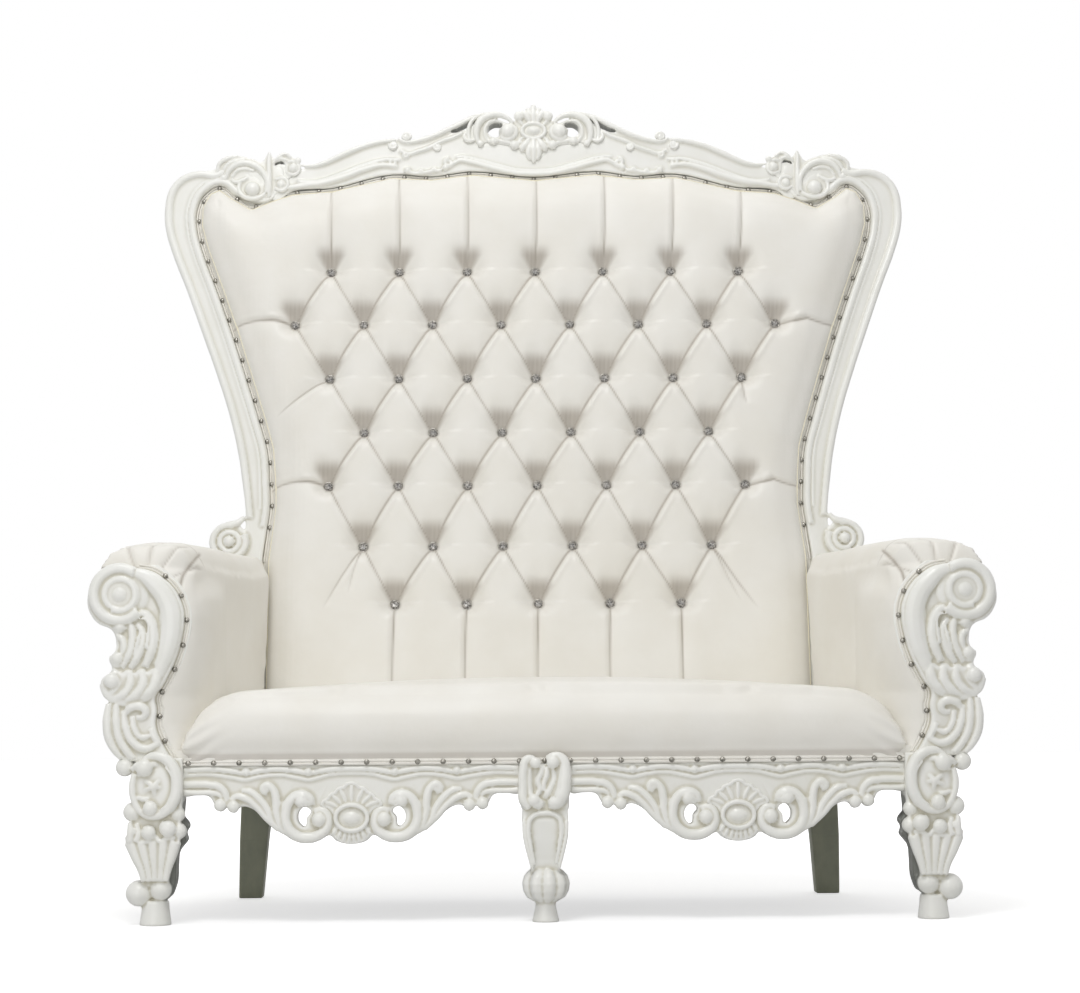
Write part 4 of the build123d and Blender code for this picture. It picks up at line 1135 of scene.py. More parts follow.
def rail_side(y):
    """The inner side of the arm rail at these depths."""
    sewn = merged_copy("arm_rail_right")
    spots = [(round(vertex.co.y, 3), vertex.co.x) for vertex in sewn.verts]
    sewn.free()
    near, far = min(spots), min(spots, key=lambda spot: (-spot[0], spot[1]))
    return np.interp(y, [near[0], far[0]], [near[1], far[1]])


def inner_face(x, y, z):
    """Where the arm's side is behind its front roll, at each point's height."""
    heights = np.arange(0.30, 0.76, 0.01)
    body = abs(y - front_seat - front_round) < 0.018
    nearest = [x[body & (abs(z - height) < 0.012)].min(initial=0.70) for height in heights]
    return np.interp(z, heights, nearest)


def shape_arm(mesh):
    """The arm's cover: a seam round the front roll, with gathered pleats that run forward from it, both sunk and
    marked with painted shade.
    """
    places = points_of(mesh)
    x, y, z = places.T
    back = -0.385
    facing = normals_of(mesh)
    facing_in = smooth_step(-facing[:, 0], 0.3, 0.6) * smooth_step(y, -0.26, -0.16) * (z < 0.70)
    x += (np.minimum(x, rail_side(y) - 0.006) - x) * facing_in
    strip = front_strip(z)
    inner = inner_face(x, y, z)
    before = y - front_seat
    was_x = x.copy()
    over = smooth_step(z, 0.690, 0.694)
    free = np.maximum(1 - smooth_step(x, strip - 0.004, strip + 0.004), over)
    share = np.clip((strip - x) / np.maximum(strip - inner, 0.015), 0, 1)
    raised = np.clip((z - 0.660) / (z.max() - 0.660), 0, 1)
    over_top = front_seat + top_round * (1 - np.sqrt(1 - raised ** 2))
    rolled = over_top + front_round * (1 - np.sqrt(1 - share ** 2)) * (1 - raised)
    rolled = np.where(free > 0.5, rolled, back + 0.0005)
    y += (rolled - y) * smooth_step(-facing[:, 1], 0.15, 0.5) * (y < -0.33)
    y[:] = np.where(raised > 0, np.maximum(y, over_top), y)
    wide = np.maximum(strip - inner, 0.015)
    turned_by = np.arctan2(np.maximum(1 - before / front_round, 0), (strip - was_x) / wide)
    low = (1 - smooth_step(z, 0.63, 0.69)) * ((was_x < strip) & (before < front_round) & (before > -0.03))
    x += (strip - wide * np.cos(turned_by) - x) * low
    y += (front_seat + front_round * (1 - np.sin(turned_by)) - y) * low
    eased = averaged(places, edges_of(mesh), 3)
    near_front = smooth_step(-y, 0.22, 0.30) * smooth_step(strip - x, 0.004, 0.012)
    places += (eased - places) * near_front[:, None]
    across = x - (arm_roll_middle[0] - 0.19 * (y - back))
    around = np.degrees(np.arctan2(z - arm_roll_middle[1], across))
    depth = y - back
    roll = smooth_step(z, 0.60, 0.66) * smooth_step(-depth, -0.13, -0.085)
    drop_in = np.zeros(len(x))
    shade = np.zeros(len(x))
    for i, angle in enumerate(arm_pleat_angles):
        off = (around - angle) * (1 + 0.06 * i)
        line = np.exp(-(off / 3.4) ** 2)
        drop_in += 0.0034 * line * roll * smooth_step(-depth, -0.105, -0.03)
        # Painted shade along each pleat.
        shade = np.maximum(shade, 0.45 * np.exp(-(off / 1.6) ** 2) * roll * smooth_step(-depth, -0.09, -0.05))
    seam = np.exp(-((depth - 0.098) / 0.004) ** 2) * smooth_step(z, 0.69, 0.71)
    drop_in += 0.0018 * seam
    # Painted shade along the seam.
    shade = np.maximum(shade, 0.35 * seam)
    nearer = 4.62 / (5.0 + y)
    seen_x = x * nearer
    seen_z = 0.42 + (z - 0.42) * nearer
    in_front = smooth_step(-y, 0.24, 0.28)
    for (ax, az), (bx, bz) in zip(arm_seam, arm_seam[1:]):
        run = (bx - ax) ** 2 + (bz - az) ** 2
        share = np.clip(((seen_x - ax) * (bx - ax) + (seen_z - az) * (bz - az)) / run, 0, 1)
        off = np.hypot(seen_x - ax - share * (bx - ax), seen_z - az - share * (bz - az))
        drop_in = np.maximum(drop_in, 0.003 * np.exp(-(off / 0.006) ** 2) * in_front)
        # Painted shade along the seam over the inner corner, as seen from the front.
        shade = np.maximum(shade, 0.8 * np.exp(-(off / 0.0032) ** 2) * in_front)
    slack = 0.0016 * np.sin(y * 19 + 0.4) * np.sin(z * 23 + 1.0)
    places += normals_of(mesh) * (slack - drop_in)[:, None]
    put_points(mesh, places)
    shade_smooth(mesh)
    # The painted shade is stored for the leather's colour.
    store(mesh, "leather_painted_shade", shade)


# Carved back frame

stile_top = 603.0            # the joints between crest rail and stiles
frame_rear = -28.0
show_front = 8.0
board_rounding = 3.0

# The frame's outer line up the right side
stile_outer = [
    (682, 23), (682, 463), (654, 517), (652, 545), (663, 640), (671, 691), (693, 784), (723, 878),
    (760, 981), (798, 1085), (835, 1180), (850, 1234), (853, 1278), (846, 1324), (829, 1352), (802, 1370),
    (768, 1376), (740, 1372), (722, 1380), (699, 1393), (648, 1396), (603, 1389),
]
crest_outer = [
    (603, 1389), (543, 1381), (493, 1387), (436, 1413), (387, 1436), (330, 1453), (300, 1455), (275, 1452),
    (250, 1461), (222, 1474), (193, 1489), (165, 1503), (140, 1515), (118, 1517), (95, 1508),
]
# Where the sky is seen between an arch of the cartouche and its ball
crest_window = [(72, 1489), (84, 1494), (98, 1490), (107, 1478), (103, 1463), (88, 1457), (79, 1463), (81, 1476)]
crest_slit = [(138, 1503), (152, 1496), (178, 1482), (194, 1473), (186, 1470), (165, 1477), (146, 1487)]


def carve_stile():
    """A back stile: a rounded outer roll, a flat band, an inner roll along the nails, and its low scroll."""
    inner = beside(opening_half[:18], -4.3)
    stile = Carving(back_place, show_front)
    inner_edge = [(x, v) for x, v in inner if v < 1300 or x > 640]
    inner_edge[-1] = (stile_top, 1308)
    stile.board([stile_outer + list(reversed(inner_edge))],
                frame_rear, show_front, board_rounding)
    hidden = beside(opening_half[:18], 26)
    hidden = [(x, v) for x, v in hidden if v < 1290] + [(stile_top, 1285)]
    stile.board([inner_edge + list(reversed(hidden))], frame_rear, -6.2)
    outer_roll = beside(stile_outer[3:19], 9)
    stile.strokes(thickened(outer_roll, 7.5, 9.5, 8.0), lift=0.0, flat=0.8)
    inner_roll = beside(opening_half[2:16], -13)
    stile.strokes(thickened(inner_roll, 6.0, 8.5, 7.0), lift=0.0, flat=0.75)
    fine_line = beside(opening_half[3:15], -25)
    stile.strokes([(x, v, 1.8) for x, v in fine_line], lift=0.2)
    post = [(650, 30), (650, 447)]
    stile.strokes([(x + 22, v, 7) for x, v in post], [(x - 22, v, 5) for x, v in post], lift=0.0, flat=0.8)
    # The scroll at the height of the arms
    stile.board([[(687 + 43 * cos(2 * pi * i / 16), 491 + 43 * sin(2 * pi * i / 16)) for i in range(16)]],
                frame_rear, show_front + 2, board_rounding)
    stile.strokes(spiral((687, 491), 38, 36, 100, -0.85, 7.5, 8.0), lift=0.35)
    stile.strokes(spiral((687, 491), 23, 20, -60, -1.0, 6.5, 6.0), lift=0.75)
    stile.balls((687, 491, 12), lift=0.75)
    stile.strokes([(655, 548, 5), (668, 535, 8), (690, 530, 8), (712, 520, 6)], lift=0.2)
    both_sides("back_stile", stile.mesh(), "back_stile", slot="white_lacquer")


def carve_crest_rail():
    """The crest rail: a flat field between a ribbon at its top and a double moulding over the nails."""
    half_inner = [(x, v) for x, v in opening_half[17:]]
    half_inner = [(stile_top, 1303.5)] + [(x, v + 4.3) for x, v in half_inner[1:]]
    outer = crest_outer + [(60, 1488), (0, 1492)]
    crest = Carving(back_place, show_front)
    loop = outer + [(-x, v) for x, v in reversed(outer[:-1])]
    lower = half_inner + [(-x, v) for x, v in reversed(half_inner[:-1])]
    crest.board([loop + list(reversed(lower)), crest_slit, flipped(crest_slit), crest_window, flipped(crest_window)],
                frame_rear, show_front - 2, 1.5)
    hidden = [(x, v - 28) for x, v in lower]
    crest.board([lower + list(reversed(hidden))], frame_rear, -6.2)
    top_ribbon = [
        (545, 1388), (515, 1387), (492, 1392), (443, 1415), (392, 1437), (345, 1448), (322, 1450),
    ]
    inner_ribbon = [(137, 1510), (165, 1494), (193, 1480), (240, 1458), (275, 1448), (300, 1446), (315, 1455)]
    second = [(165, 1470), (179, 1461), (217, 1446), (240, 1433), (270, 1422), (292, 1416), (310, 1424)]
    nail_roll = [
        (590, 1332), (560, 1334), (521, 1340), (494, 1343), (443, 1358), (392, 1378), (350, 1388), (318, 1384),
    ]
    upper_roll = [(548, 1349), (521, 1347), (494, 1350), (443, 1368), (392, 1389), (342, 1402), (311, 1401)]
    low_v = [(200, 1382), (172, 1399), (150, 1396), (90, 1379), (40, 1367), (0, 1365)]
    high_v = [(180, 1408), (160, 1408), (90, 1389), (40, 1376), (0, 1374)]
    rolls = (
        (top_ribbon, 3.0, 6.5, 4.5), (inner_ribbon, 5.0, 6.0, 3.0), (second, 3.0, 4.5, 3.0),
        (nail_roll, 5.0, 8.0, 4.0), (upper_roll, 2.5, 4.5, 3.0), (low_v, 3.5, 6.0, 6.5), (high_v, 2.0, 3.5, 3.5),
    )
    for path, start, middle, end in rolls:
        for line in (path, flipped(path)):
            crest.strokes(thickened(line, start, middle, end), lift=0.1, flat=0.85)
    along_nails = [
        (300, 1372), (275, 1367), (255, 1368), (238, 1372), (215, 1374),
    ]
    knots = ((293, 1375, 7), (262, 1371, 6), (232, 1375, 6), (206, 1381, 7))
    for turn in (1, -1):
        crest.strokes([(turn * x, v, 4.5) for x, v in along_nails], lift=0.1)
        crest.balls(*((turn * x, v, radius) for x, v, radius in knots))
        for centre, reach, thick in (((198, 1394), 10, 3.5), ((297, 1412), 6, 3), ((327, 1395), 8, 3)):
            crest.strokes(spiral((turn * centre[0], centre[1]), reach, 3, 90, -turn * 1.2, thick, 2), lift=0.4)
    mesh = shade_undersides(crest.mesh(), back_place, show_front - 4)
    piece = new_piece("crest_rail_carved", mesh, "white_lacquer")
    finish(piece, "crest_rail", slot="white_lacquer")


def carve_cartouche():
    """The crest's middle: an oval boss between two C-scrolls, with a plume above and a leaf below."""
    work = Carving(back_place, show_front)
    for turn in (1, -1):
        def side(path):
            return [(turn * point[0], *point[1:]) for point in path]
        c_scroll = [
            (58, 1486, 5), (44, 1478, 6), (42, 1464, 6), (52, 1453, 6), (66, 1451, 5), (77, 1459, 4),
        ]
        arch = [
            (47, 1492, 4), (62, 1505, 6), (84, 1512, 8), (108, 1507, 9), (126, 1493, 9), (133, 1472, 8),
            (131, 1450, 6), (122, 1434, 4),
        ]
        outer_arch = [(108, 1517, 3), (132, 1509, 4.5), (147, 1491, 5), (152, 1468, 5), (148, 1444, 4)]
        inner_arch = [(88, 1499, 3), (104, 1493, 4), (113, 1478, 4), (112, 1460, 3.5), (104, 1446, 3)]
        low_curls = [(28, 1445, 4), (43, 1437, 6), (58, 1442, 5), (75, 1446, 4), (93, 1450, 5), (104, 1442, 4)]
        work.strokes(side(c_scroll), lift=0.5)
        work.strokes(side(arch), side(outer_arch), side(inner_arch), lift=0.35)
        work.strokes(side(low_curls), lift=0.3)
        work.strokes(side([(139, 1449, 4), (150, 1446, 5), (160, 1453, 5), (160, 1464, 4), (151, 1466, 3)]),
                     lift=0.4)
        work.balls((turn * 60, 1470, 17), (turn * 44, 1436, 11), (turn * 93, 1446, 10), (turn * 124, 1440, 8),
                   (turn * 34, 1508, 12))
        petals = (
            [(8, 1492, 5), (13, 1504, 8), (21, 1514, 8), (29, 1518, 5)],
            [(4, 1496, 5), (9, 1514, 7), (13, 1524, 5.5), (15, 1528, 4)],
        )
        for petal in petals:
            work.strokes(side(petal), lift=0.35)
        leaf = (
            [(10, 1450, 6), (19, 1437, 9), (26, 1427, 8), (28, 1420, 4)],
            [(5, 1448, 5), (10, 1428, 8), (12, 1412, 7), (8, 1400, 4)],
        )
        for petal in leaf:
            work.strokes(side(petal), lift=0.3)
        work.strokes(side([(22, 1486, 3), (30, 1494, 4.5), (36, 1500, 4)]), lift=0.3)
        work.strokes(side([(24, 1456, 3), (31, 1449, 4.5), (36, 1443, 4)]), lift=0.3)
    work.strokes([(0, 1490, 7), (0, 1512, 9), (0, 1527, 8), (0, 1537, 5.5)], lift=0.15)
    work.strokes([(0, 1452, 7), (0, 1426, 9.5), (0, 1406, 7), (0, 1392, 4)], lift=0.2)
    work.ring((0, 1471), 27, 19, 4.5, lift=0.9)
    work.oval((0, 1471), 26, 18, 6, 0)
    work.oval((0, 1471), 17, 11, 12, 0)
    backing = [
        (0, 1534), (12, 1527), (30, 1517), (48, 1494), (58, 1492), (78, 1500), (100, 1504), (120, 1498), (132, 1478),
        (130, 1452), (118, 1442), (100, 1446), (92, 1442), (62, 1436), (40, 1432), (24, 1422), (10, 1402), (0, 1394),
    ]
    loop = backing + [(-x, v) for x, v in reversed(backing[1:-1])]
    work.board([loop, crest_window, flipped(crest_window)], frame_rear + 10, show_front + 1, 1.5)
    mesh = shade_undersides(work.mesh(1.8, 3), back_place, show_front)
    piece = new_piece("crest_cartouche_carved", mesh, "white_lacquer")
    finish(piece, "crest_cartouche", slot="white_lacquer")


def carve_crest_curls():
    """The small curls where the crest's ribbons end."""
    curls = Carving(back_place, show_front)
    for turn in (1, -1):
        for centre, reach, thick, start in (
                ((297, 1457), 11, 4.0, 200), ((327, 1437), 10, 4.0, 20), ((224, 1432), 9, 3.5, 60)):
            place = (turn * centre[0], centre[1])
            curls.strokes(spiral(place, reach, 4, start if turn > 0 else 180 - start, -turn * 1.3, thick, 2.5),
                          lift=0.5)
            curls.balls((*place, reach * 0.55))
            curls.balls((*place, reach), lift=-0.5)
    piece = new_piece("crest_curls_carved", curls.mesh(1.8, 3), "white_lacquer")
    finish(piece, "crest_curls", slot="white_lacquer")


def carve_shoulder():
    """The carving over a shoulder of the back: a C-scroll with leaves, a spike and two small scrolls."""
    work = Carving(back_place, show_front)
    backing = [
        (765, 1368), (735, 1382), (728, 1394), (708, 1407), (680, 1412), (650, 1404), (632, 1398), (622, 1412),
        (615, 1421), (608, 1412), (598, 1404), (580, 1416), (562, 1410), (548, 1398), (548, 1382), (558, 1364),
        (570, 1352), (580, 1330), (598, 1326), (612, 1309), (632, 1306), (652, 1303), (672, 1316), (682, 1338),
        (705, 1345),
    ]
    crescent = [(662, 1366), (650, 1371), (636, 1365), (626, 1352), (625, 1341), (634, 1350), (646, 1360)]
    slit = [(603, 1391), (592, 1398), (583, 1398), (577, 1372), (574, 1360), (585, 1384)]
    work.board([backing, crescent, slit], frame_rear + 12, show_front + 1, 1.2)
    lines = (
        [(733, 1373, 3), (731, 1390, 5), (712, 1404, 6), (686, 1411, 3)],
        [(722, 1370, 3), (712, 1388, 5), (693, 1399, 5), (672, 1403, 3)],
        [(716, 1352, 4), (704, 1378, 7), (679, 1392, 8), (649, 1387, 8), (626, 1366, 7), (618, 1340, 6),
         (620, 1320, 5)],
        [(700, 1360, 3), (688, 1375, 4), (668, 1379, 4), (650, 1374, 3)],
        [(680, 1346, 4), (684, 1330, 5), (676, 1314, 6), (656, 1305, 6), (636, 1308, 6), (622, 1318, 4)],
        [(702, 1352, 4), (690, 1346, 5), (676, 1350, 5), (664, 1358, 3)],
        [(615, 1421, 2.5), (615, 1395, 5), (614, 1365, 6), (613, 1330, 6), (613, 1309, 3)],
        [(604, 1394, 3), (592, 1408, 5), (578, 1416, 4), (564, 1408, 3)],
        [(598, 1400, 2.5), (586, 1404, 4), (576, 1400, 3)],
        [(571, 1396, 3), (560, 1397, 4), (546, 1388, 4), (545, 1374, 4), (556, 1364, 4), (570, 1368, 3)],
        [(600, 1352, 4), (586, 1356, 5), (572, 1348, 5), (573, 1332, 5), (587, 1325, 5), (600, 1332, 3)],
        [(760, 1340, 3), (735, 1352, 4), (716, 1352, 4)],
    )
    for line in lines:
        work.strokes(line, lift=0.35)
    work.balls((652, 1328, 17), (558, 1380, 11), (586, 1340, 10), (548, 1399, 8), (720, 1357, 7))
    mesh = shade_undersides(work.mesh(1.8, 3), back_place, show_front)
    both_sides("shoulder_carved", mesh, "shoulder_carving", slot="white_lacquer")


# Carved arm fronts

arm_edge = [
    (726, 322), (744, 353), (756, 385), (754, 414), (757, 442), (745, 459), (732, 483), (719, 511),
    (708, 548), (702, 600), (708, 625), (721, 650), (743, 672), (766, 686), (793, 691),
]
arm_outside = [
    (830, 690), (860, 679), (883, 655), (890, 628), (882, 600), (867, 583), (846, 574), (838, 566),
    (833, 548), (834, 532), (846, 516), (841, 494), (857, 478), (861, 462), (853, 444), (846, 430),
    (853, 412), (857, 396), (853, 364), (838, 338), (823, 322),
]


def carve_arm_front():
    """An arm's front: volute, broad band, leaf, shell and the leaf scrolls under it."""
    work = Carving(arm_face, -4.0)
    edge = [(x, z, 1) if z < 330 else (x, z) for x, z in arm_edge]
    work.board([edge + arm_outside], -21, -3, 2.5)
    strip = [(x, z) for x, z in beside(arm_edge, 14)]
    strip[0] = (726, 322)
    work.board([strip[:-1] + [(793, 690)] + arm_outside[1:]], -33, -20, 1.0)
    volute = (826, 640)
    work.oval(volute, 57, 57, 9, 0)
    work.strokes(spiral(volute, 51, 49, 122, -0.72, 11.5, 12.5), lift=0.10)
    work.strokes(spiral(volute, 32, 28, -62, -1.10, 9.5, 7.5), lift=0.32)
    work.balls((*volute, 14), lift=0.45, squash=0.5)
    band = [
        (812, 682, 9), (783, 677, 14), (756, 656, 18), (736, 629, 20), (727, 598, 21), (728, 560, 20.5),
        (736, 525, 18), (745, 500, 14), (753, 474, 9), (758, 452, 5),
    ]
    work.strokes(band, lift=0.0, flat=0.72)
    work.strokes([(742, 640, 2), (745, 604, 3), (746, 569, 3), (750, 534, 3), (759, 505, 2)], lift=0.8)
    leaf = (
        [(796, 590, 4), (784, 603, 8), (768, 592, 10), (760, 562, 11), (764, 530, 11), (776, 500, 7)],
        [(791, 582, 4), (781, 566, 8), (783, 539, 9.5), (794, 514, 9), (804, 498, 5)],
        [(810, 594, 4), (801, 569, 8), (801, 544, 9.5), (809, 519, 9), (821, 500, 5)],
        [(832, 562, 4), (820, 552, 7), (817, 536, 8), (822, 520, 6)],
    )
    for line in leaf:
        work.strokes(line, lift=0.12)
    creases = (
        [(788, 592, 1.5), (774, 590, 2), (770, 562, 2), (773, 535, 2)],
        [(786, 570, 1.5), (790, 545, 2), (797, 522, 1.5)],
    )
    for line in creases:
        work.strokes(line, lift=5.0)
    work.strokes(spiral((825, 577), 12, 10, 200, -0.85, 3.5, 3), lift=0.6)
    work.balls((825, 577, 11), (830, 516, 12))
    work.strokes(spiral((830, 516), 14, 13, 130, 0.7, 3.5, 3.5), lift=0.4)
    # The shell
    work.balls((840, 473, 15), lift=0.4)
    work.strokes(spiral((840, 473), 18, 16, 95, 0.75, 4.0, 4.5), lift=0.5)
    bowl = [
        (858, 478), (861, 462), (851, 444), (831, 432), (806, 428), (781, 434), (761, 449), (748, 469),
        (747, 488), (757, 496), (772, 490), (785, 494), (797, 488), (808, 493), (820, 488),
    ]
    work.board([bowl], -10, 3, 4.0)
    flutes = (
        [(820, 488, 5), (825, 468, 8), (839, 452, 8), (853, 449, 4)],
        [(807, 491, 7), (804, 468, 10.5), (818, 446, 10.5), (842, 438, 5)],
        [(783, 493, 7), (779, 468, 11.5), (794, 445, 11.5), (822, 432, 5)],
        [(757, 494, 7), (755, 474, 11), (768, 451, 11), (796, 434, 5)],
    )
    for line in flutes:
        work.strokes(line, lift=0.25, flat=0.9)
    rim = [(861, 466), (852, 443), (831, 431), (806, 427), (781, 433), (761, 447), (750, 462)]
    work.strokes([(x, z, 4) for x, z in rim], lift=0.5)
    # Under the shell
    low_leaf = (
        [(846, 428, 6), (848, 396, 10), (844, 362, 10), (831, 336, 8), (820, 322, 5)],
        [(831, 426, 6), (831, 396, 9.5), (825, 362, 9.5), (810, 336, 8), (797, 322, 5)],
        [(817, 414, 5), (813, 382, 8.5), (798, 354, 8.5), (774, 341, 8), (752, 350, 5)],
        [(814, 408, 5), (803, 421, 9), (786, 423, 9), (775, 414, 8), (779, 403, 6), (791, 401, 4)],
        [(800, 402, 4), (796, 380, 6), (783, 363, 6), (766, 366, 4)],
        [(764, 378, 4), (757, 362, 6), (748, 348, 5)],
    )
    for line in low_leaf:
        work.strokes(line, lift=0.15)
    both_sides("arm_front_carved", work.mesh(), "arm_front", slot="white_lacquer")


# Carved aprons and legs

apron_middle = 376.5
skirt_bottom = 306.0
rail_top = 322.0


def on_apron(path):
    """Places measured from the apron's middle, outwards to its leg."""
    return [(apron_middle + point[0], *point[1:]) for point in path]


def both_ways(path):
    return path, flipped(path)


def carve_apron():
    """A pierced apron: wavy mouldings over C-scrolls, with leaves that run out to the legs."""
    half = [
        (0, 153), (18, 155), (32, 161), (42, 170), (56, 164), (70, 160), (89, 158), (112, 164), (138, 180),
        (170, 205), (206, 227), (219, 224), (229, 214), (240, 226), (255, 217), (267, 232), (276, 246),
        (300, 249), (328.5, 250),
    ]
    hole = [(79, 216), (84, 223), (93, 225), (101, 219), (105, 206), (100, 192), (91, 187), (88, 193), (87, 205)]
    work = Carving(apron_face, -4.0)
    lower = [(apron_middle - x, z) for x, z in reversed(half[1:])] + on_apron(half)
    loop = lower + [(705, skirt_bottom - 0.5, 1), (48, skirt_bottom - 0.5, 1)]
    holes = [on_apron(hole), on_apron(flipped(hole))]
    work.board([loop, *holes], -36, -4, 3.0)
    behind = [(48, 250, 1), (705, 250, 1), (705, rail_top, 1), (48, rail_top, 1)]
    work.board([behind], -38, -7)
    top_roll = [
        (0, 299, 4.5), (40, 298, 4.8), (70, 293, 4.5), (84, 290, 3.5), (100, 294, 4.5), (140, 299, 4.8),
        (180, 296, 4.5), (204, 291, 3.5), (228, 295, 4.5), (270, 300, 4.8), (326, 298, 4.8),
    ]
    low_roll = [
        (0, 290, 2.6), (40, 288, 2.6), (68, 281, 2.6), (84, 278, 2.6), (100, 281, 2.6), (140, 288, 2.6),
        (182, 284, 2.6), (206, 279, 2.6), (230, 283, 2.6), (270, 289, 2.6), (326, 288, 2.6),
    ]
    carvings = (
        # The C-scroll, its outer rib and its ribbed head
        [(72, 218, 4), (56, 219, 6), (46, 205, 7), (48, 186, 8), (62, 172, 9), (88, 166, 9.5), (111, 173, 9.5),
         (126, 192, 9), (128, 215, 8.5), (119, 238, 8.5), (100, 249, 8.5), (82, 243, 7.5), (77, 230, 5)],
        [(60, 164, 3), (88, 160, 4), (116, 168, 4.5), (134, 190, 4.5), (139, 214, 4), (134, 236, 3)],
        # The leaves beside it
        [(112, 166, 4), (134, 184, 6), (145, 212, 7), (147, 244, 7), (154, 262, 6.5), (166, 268, 6),
         (173, 259, 5), (165, 252, 4)],
        [(130, 176, 4), (152, 194, 6), (163, 220, 6.5), (180, 243, 6.5), (197, 256, 5.5), (212, 258, 3)],
        [(142, 181, 4), (166, 206, 6), (186, 229, 6.5), (206, 243, 6), (226, 246, 5), (238, 236, 3.5)],
        [(154, 200, 3), (172, 224, 4), (190, 240, 4), (203, 248, 3)],
        # The hooked moulding towards the leg
        [(243, 230, 4), (244, 250, 6), (256, 265, 6.5), (276, 270, 6), (300, 271, 6), (326, 270, 6)],
        [(250, 240, 3), (256, 250, 4.5), (274, 254, 4.5), (300, 254, 4.5), (326, 255, 4.5)],
        top_roll, low_roll,
    )
    for line in carvings:
        for way in both_ways([(x, z, radius * 1.18) for x, z, radius in line]):
            work.strokes(on_apron(way), lift=0.10, flat=0.9)
    domes = ((63, 201, 14), (97, 237, 13), (229, 227, 12), (255, 230, 12), (164, 260, 6),
             (84, 293, 7.5), (205, 294, 7.5))
    for way in both_ways(list(domes)):
        work.balls(*on_apron(way))
    ribs = (
        [(84, 240, 2), (93, 247, 3), (106, 243, 2.5)], [(82, 232, 2), (92, 239, 3), (106, 234, 2.5)],
        [(84, 225, 2), (92, 230, 2.5), (101, 227, 2)],
    )
    for rib in ribs:
        for way in both_ways(rib):
            work.strokes(on_apron(way), lift=3.0)
    both_sides("apron_carved", work.mesh(), "apron", slot="white_lacquer")


def carve_shell():
    """The shell over an apron's middle: a scalloped fan, an oval boss and a fringe of flutes."""
    fan = [
        (0, 272), (10, 268), (17, 262), (27, 259), (33, 252), (42, 248), (47, 240), (56, 234), (58, 226),
        (46, 222), (34, 206), (30, 192), (38, 180), (30, 162), (16, 155), (0, 153),
    ]
    work = Carving(apron_face, -4.0)
    loop = on_apron(fan) + [(apron_middle - x, z) for x, z in reversed(fan[1:-1])]
    work.board([loop], -8, -1, 2.0)
    rims = (
        [(0, 272, 3), (9, 269, 3.5), (16, 262, 3)], [(16, 263, 3), (26, 260, 3.5), (32, 252, 3)],
        [(32, 253, 3), (41, 249, 3.5), (46, 240, 3)], [(46, 241, 3), (55, 236, 3.5), (59, 227, 3)],
    )
    ribs = (
        [(0, 230, 2), (0, 250, 3.5), (0, 266, 3)], [(9, 229, 2), (15, 246, 3.5), (21, 257, 3)],
        [(17, 227, 2), (28, 240, 3.5), (36, 247, 3)], [(23, 223, 2), (38, 231, 3.5), (50, 235, 3)],
        [(3, 182, 3), (4, 168, 4), (5, 157, 2.5)], [(11, 183, 3), (13, 169, 4), (16, 158, 2.5)],
        [(19, 185, 3), (23, 172, 4), (27, 162, 2.5)], [(26, 189, 3), (32, 178, 3.5), (38, 172, 2.5)],
    )
    for line in rims + ribs:
        for way in both_ways(line):
            work.strokes(on_apron(way), lift=0.7)
    work.ring((apron_middle, 204), 31, 25, 4.5, lift=1.4)
    work.oval((apron_middle, 204), 29, 23, 5, 1)
    work.oval((apron_middle, 204), 19, 13, 10, 1)
    both_sides("apron_shell_carved", work.mesh(1.8, 3), "apron_shell", slot="white_lacquer")


leg_back = -345.0            # rear face of the front legs
leg_front = -418.0


def turned(profile, centre, sides=40, lobes=0, depth=0.0):
    """A turned shape from radii and heights, with lobes round it if wanted."""
    shape = bmesh.new()
    bmesh.ops.create_vert(shape, co=(profile[0][0], 0, profile[0][1]))
    line = [shape.verts[:][0]]
    for radius, z in profile[1:]:
        line.append(bmesh.ops.create_vert(shape, co=(radius, 0, z))["vert"][0])
    edges = [shape.edges.new((a, b)) for a, b in zip(line, line[1:])]
    bmesh.ops.spin(shape, geom=line + edges, angle=2 * pi, steps=sides, axis=(0, 0, 1), cent=(0, 0, 0),
                   use_merge=True)
    bmesh.ops.remove_doubles(shape, verts=shape.verts, dist=0.01)
    rims = [edge for edge in shape.edges if edge.is_boundary]
    bmesh.ops.contextual_create(shape, geom=rims)
    for vertex in shape.verts:
        angle = np.arctan2(vertex.co.y, vertex.co.x)
        swell = 1 + depth * (abs(cos(angle * lobes / 2)) - 0.6) if lobes else 1
        vertex.co.x *= swell
        vertex.co.y *= swell
    bmesh.ops.translate(shape, verts=shape.verts, vec=centre)
    bmesh.ops.recalc_face_normals(shape, faces=shape.faces)
    mesh = bpy.data.meshes.new("turned")
    shape.to_mesh(mesh)
    shape.free()
    return mesh


def stacked(sections):
    """A post through level sections, each a height and its limits across and in depth."""
    shape = bmesh.new()
    rings = []
    for z, low, high, near, far in sections:
        turn = Matrix.Translation(((low + high) / 2, (near + far) / 2, z)) @ Matrix.Diagonal(
            (high - low, far - near, 1, 1))
        made = bmesh.ops.create_grid(shape, x_segments=1, y_segments=1, size=0.5, matrix=turn)["verts"]
        rings.append(list({edge for vertex in made for edge in vertex.link_edges}))
    inner = [face for face in shape.faces if min(v.co.z for v in face.verts) not in
             (min(s[0] for s in sections), max(s[0] for s in sections))]
    bmesh.ops.delete(shape, geom=inner, context="FACES_ONLY")
    for low, high in zip(rings, rings[1:]):
        bmesh.ops.bridge_loops(shape, edges=low + high)
    bmesh.ops.recalc_face_normals(shape, faces=shape.faces)
    mesh = bpy.data.meshes.new("post")
    shape.to_mesh(mesh)
    shape.free()
    return mesh


